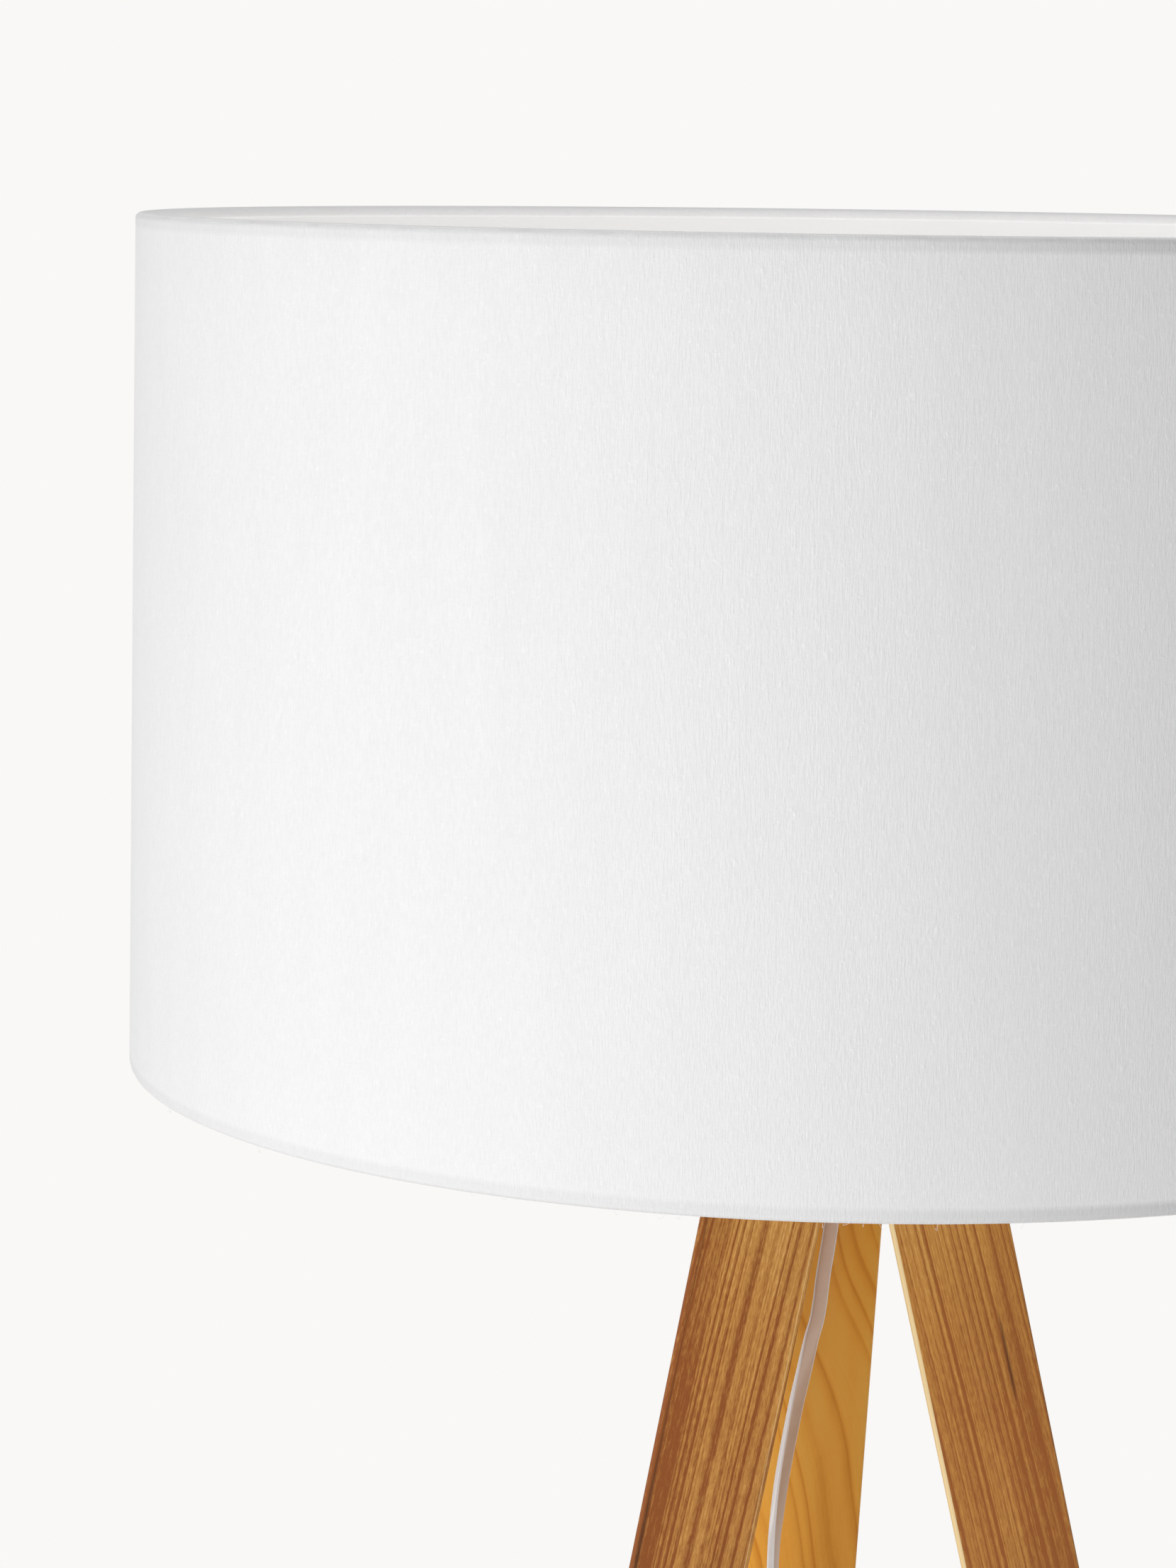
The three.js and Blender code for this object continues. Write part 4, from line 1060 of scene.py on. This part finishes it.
def make_stray_fibres(material):
    """A few loose threads at the lower rim."""
    rng = random.Random(7)
    radius = 0.045 * MM
    bm = bmesh.new()
    places = [-0.28, -0.21, -0.19, -0.02, 0.015, 0.03, 0.12]
    places += [rng.uniform(-math.pi, math.pi) for _ in range(16)]
    for turn in places:
        angle = turn - math.pi / 2 - LAMP_YAW
        out = Vector((math.cos(angle), math.sin(angle), 0))
        side = Vector((-out.y, out.x, 0))
        start = AXIS + out * (BOTTOM_RADIUS - rng.uniform(1.5, 3.0) * MM) + Vector((0, 0, RIM_Z + 0.4 * MM))
        lean, drop = rng.uniform(-2.6, 2.6) * MM, rng.uniform(1.0, 2.8) * MM
        curl = rng.uniform(-1.2, 1.2) * MM
        points = [
            start,
            start + side * lean * 0.4 + Vector((0, 0, -drop * 0.5)) + out * 0.4 * MM,
            start + side * (lean * 0.8 + curl) + Vector((0, 0, -drop)),
            start + side * lean + Vector((0, 0, -drop * 0.7)),
        ]
        strand = swept(smooth_line(points, 0.4 * MM), circle(radius, 6))
        mesh = mesh_from(strand, "strand")
        bm.from_mesh(mesh)
        bpy.data.meshes.remove(mesh)
    return piece("shade_stray_fibres", bm, material, "shade")


def make_lining(material):
    low, high = RIM_Z + ROLL_OUTER + 3 * MM, TOP_Z - 2 * ROLL_OUTER - 1.5 * GAP
    outer = FABRIC_THICKNESS + GAP
    inner = outer + 0.8 * MM
    outline = [(wall_radius(z) - outer, z) for z in (low + (high - low) * i / 14 for i in range(15))]
    clear = ROLL_OUTER + 1.5 * GAP
    for degrees in (95, 80, 65, 50, 38):
        angle = math.radians(degrees)
        outline.append((TOP_WIRE[0] - clear * math.cos(angle), TOP_WIRE[1] - clear * math.sin(angle)))
    tip_radius, tip_z = outline[-1]
    for i in range(1, 10):
        z = tip_z - i * MM
        swell = (1 - i / 10) ** 2
        outline.append((wall_radius(z) - inner + (tip_radius - wall_radius(tip_z) + inner) * swell, z))
    top = tip_z - 10 * MM
    outline += [(wall_radius(z) - inner, z) for z in (top + (low - top) * i / 12 for i in range(13))]
    slot = node = "shade_lining"
    turned_piece("shade_lining_film", outline, material, "shade", node, SHADE_SEGMENTS)


def make_wire(place, centre, material):
    outline = [(centre[0] + a, centre[1] + b) for a, b in circle(WIRE_RADIUS)]
    turned_piece(f"{place}_wire_steel", outline, material, "shade", f"{place}_wire_ring", 192)


def make_fitter(material):
    low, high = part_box("fitter_ring")[0].z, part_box("fitter_ring")[1].z
    outline = ring_outline(HOLDER_RADIUS + 0.5 * MM, 0.029, low, high)
    turned_piece("fitter_ring_steel", outline, material, "shade", "fitter_ring")
    middle = (low + high) / 2
    wire, arm_low = BOTTOM_WIRE
    points = [
        (wire - WIRE_RADIUS - 3 * GAP, arm_low), (0.228, arm_low), (0.205, arm_low + 3 * MM),
        (0.180, arm_low + 9 * MM), (0.120, arm_low + 32 * MM), (0.070, middle - 12 * MM),
        (0.045, middle - 3.5 * MM), (0.034, middle), (0.0294, middle),
    ]
    for k, azimuth in enumerate(ARM_AZIMUTHS, 1):
        turn = Matrix.Translation(AXIS) @ Matrix.Rotation(math.radians(azimuth), 4, "Z")
        line = [turn @ p for p in smooth_line([(r, 0, z) for r, z in points], 3 * MM)]
        name = f"fitter_arm_{k}"
        piece(f"{name}_steel", swept(line, circle(ARM_RADIUS)), material, "shade", [name])


def make_shade(materials):
    cloth = make_shade_fabric(materials["fabric"])
    seam = make_shade_seam(materials["fabric"])
    fibres = make_stray_fibres(materials["fabric"])
    make_lining(materials["lining"])
    make_wire("top", TOP_WIRE, materials["steel"])
    make_wire("bottom", BOTTOM_WIRE, materials["steel"])
    make_fitter(materials["steel"])


# ------------------------------------------------------------------ the materials' table and the kept nodes

LEFT_WOOD = ((0.730, 0.405, 0.118), (0.560, 0.255, 0.052), (0.265, 0.072, 0.008))
RIGHT_WOOD = ((0.660, 0.360, 0.092), (0.535, 0.240, 0.045), (0.300, 0.090, 0.013))
# The rear leg's own orange tone, made much lighter as painted light for the light its face lacks under the
# shade and behind the front legs.
REAR_WOOD_AND_PAINTED_LIGHT = ((0.950, 0.500, 0.078), (0.930, 0.425, 0.050), (0.720, 0.265, 0.018))


def make_materials():
    return {
        "left": wood(
            "wood_left", LEG_AZIMUTHS["left"], LEFT_WOOD, spacing=3.8 * MM, slant=-0.04, softness=0.5,
            fibres=1.0, heart=0.28, lower=(0.0, 0.19), streak=(-0.0190, 0.9, 1.2), inner_arris_highlight=(0.4, 0.72),
        ),
        "right": wood(
            "wood_right", LEG_AZIMUTHS["right"], RIGHT_WOOD, spacing=3.1 * MM, slant=0.035, softness=0.3,
            fibres=0.8, heart=0.08, lower=(0.0, 0.28), streak=(0.0106, 1.108, 0.018), inner_arris_highlight=(0.9, 1.5),
        ),
        "rear": wood(
            "wood_rear", LEG_AZIMUTHS["rear"], REAR_WOOD_AND_PAINTED_LIGHT, spacing=8.5 * MM, slant=0.31, softness=1.0,
            fibres=0.25, lower=(0.13, 0.30),
        ),
        "hub": wood("wood_hub", 90, LEFT_WOOD, spacing=3.8 * MM, slant=0.0, softness=0.5, fibres=1.0),
        "felt": felt_material(),
        "steel": metal("steel", (0.62, 0.63, 0.65), stretch=(1, 1, 0.05)),
        "brass": metal("brass", (0.80, 0.60, 0.27), roughness=0.28),
        "bulb_cap": metal("bulb_cap_metal", (0.75, 0.75, 0.76), roughness=0.25, stretch=(1, 1, 6)),
        "white": white_plastic_material(),
        "fabric": shade_fabric_material(),
        "lining": lining_material(),
        "opal": opal_material(),
        "cord": cord_material(),
    }


# The CAD nodes that stay in sight as they are, by material
KEPT_NODES = {
    "hub": ["hub_block"],
    "steel": ["switch_screw_1", "switch_screw_2"],
    "brass": [
        "thread_shell", "centre_contact", "side_contact", "switch_contact_1", "switch_contact_2",
        "plug_pin_left", "plug_pin_right",
    ],
    "white": [
        "contact_carrier", "cord_in_tube", "coil_tie", "switch_lower_housing", "switch_upper_housing",
        "switch_rocker", "plug_body", "plug_strain_relief",
    ],
}
# How far their edges are rounded, in millimetres
SOFTENED_NODES = {
    "switch_lower_housing": 0.8, "switch_upper_housing": 0.8, "switch_rocker": 0.5, "plug_body": 0.7,
    "coil_tie": 0.4, "hub_block": 0.5,
}


def dress_kept_nodes(materials):
    for name, nodes in KEPT_NODES.items():
        for node in nodes:
            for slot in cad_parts[node].material_slots:
                slot.material = materials[name]
    for node, width in SOFTENED_NODES.items():
        soften(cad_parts[node], width * MM)


# ------------------------------------------------------------------ studio

FLOOR_RADIUS, BACKDROP_RADIUS = 2.6, 20.0
PALE = (0.947, 0.939, 0.923)
WORLD_LIGHT = 0.32
LIGHT_TARGET = AXIS + Vector((0, 0, 1.2))
# Each light's place (right, away, height), seen from the lamp's axis, its size and its power
LIGHTS = {
    "key": ((-1.30, -2.25, 0.95), (0.5, 1.1), 13.0),
    "high": ((-1.10, -2.35, 2.15), (0.6, 0.7), 11.5),
    "side": ((-2.51, -0.67, 1.0), (0.5, 1.2), 18.0),
    "low": ((0.3, -2.2, 0.25), (2.6, 0.4), 11.5),
    "back": ((0.67, 2.51, 1.4), (0.9, 1.6), 14.0),
}


def backdrop_material():
    material = bpy.data.materials.new("backdrop")
    material.use_nodes = True
    tree = material.node_tree
    tree.nodes.clear()
    light = tree.nodes.new("ShaderNodeEmission")
    light.inputs["Color"].default_value = (*PALE, 1.0)
    light.inputs["Strength"].default_value = 1.0
    out = tree.nodes.new("ShaderNodeOutputMaterial")
    tree.links.new(light.outputs[0], out.inputs[0])
    return material


def floor_material():
    """Pale and matt, fading out into the backdrop."""
    shader = Shader("floor", Roughness=0.8, Specular_IOR_Level=0.2)
    away = shader.distance(*shader.axes()[:2])
    shader.colour((0.86, 0.855, 0.845, 1.0))
    fade = shader.ramp(shader.math("DIVIDE", away, FLOOR_RADIUS), (0.35, 1.0), (0.98, 0.0))
    shader.feed(shader.surface.inputs["Alpha"], fade)
    return shader.material


def stage_piece(name, bm, material):
    mesh = mesh_from(bm, name)
    mesh.materials.append(material)
    obj = added(name, mesh)
    return obj


def make_backdrop():
    """A pale sphere round everything that is seen, and reflected, but gives no light of its own."""
    bm = bmesh.new()
    bmesh.ops.create_uvsphere(bm, u_segments=64, v_segments=32, radius=BACKDROP_RADIUS)
    obj = stage_piece("backdrop", bm, backdrop_material())
    obj.visible_diffuse = False
    obj.visible_shadow = False


def make_floor():
    bm = bmesh.new()
    bmesh.ops.create_circle(bm, cap_ends=True, radius=FLOOR_RADIUS, segments=96)
    stage_piece("floor", bm, floor_material())


def make_light(name, place, size, power):
    data = bpy.data.lights.new(name, "AREA")
    data.shape = "RECTANGLE"
    data.size, data.size_y = size
    data.energy = power
    obj = added(name, data)
    turn = (LIGHT_TARGET - place).to_track_quat("-Z", "Y").to_matrix().to_4x4()
    obj.matrix_world = Matrix.Translation(place) @ turn
    obj.visible_camera = False


def from_view(right, away, z):
    """A place seen from the lamp's axis, along and across the camera's own direction."""
    return AXIS + VIEW_RIGHT * right + VIEW_AWAY * away + Vector((0, 0, z))


def make_studio():
    scene = bpy.context.scene
    scene.view_settings.view_transform = "Standard"
    world = bpy.data.worlds.new("studio")
    scene.world = world
    world.use_nodes = True
    background = next(n for n in world.node_tree.nodes if n.type == "BACKGROUND")
    background.inputs["Color"].default_value = (1.0, 1.0, 1.0, 1.0)
    background.inputs["Strength"].default_value = WORLD_LIGHT
    make_backdrop()
    make_floor()
    for name, (place, size, power) in LIGHTS.items():
        make_light(name, from_view(*place), size, power)


# ------------------------------------------------------------------ everything

make_camera()
materials = make_materials()
cord, cord_path, cord_length = make_cord(materials["cord"])
make_legs(materials)
make_hub(materials)
make_lampholder(materials)
make_bulb(materials)
make_shade(materials)
dress_kept_nodes(materials)
make_studio()

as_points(cord_path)
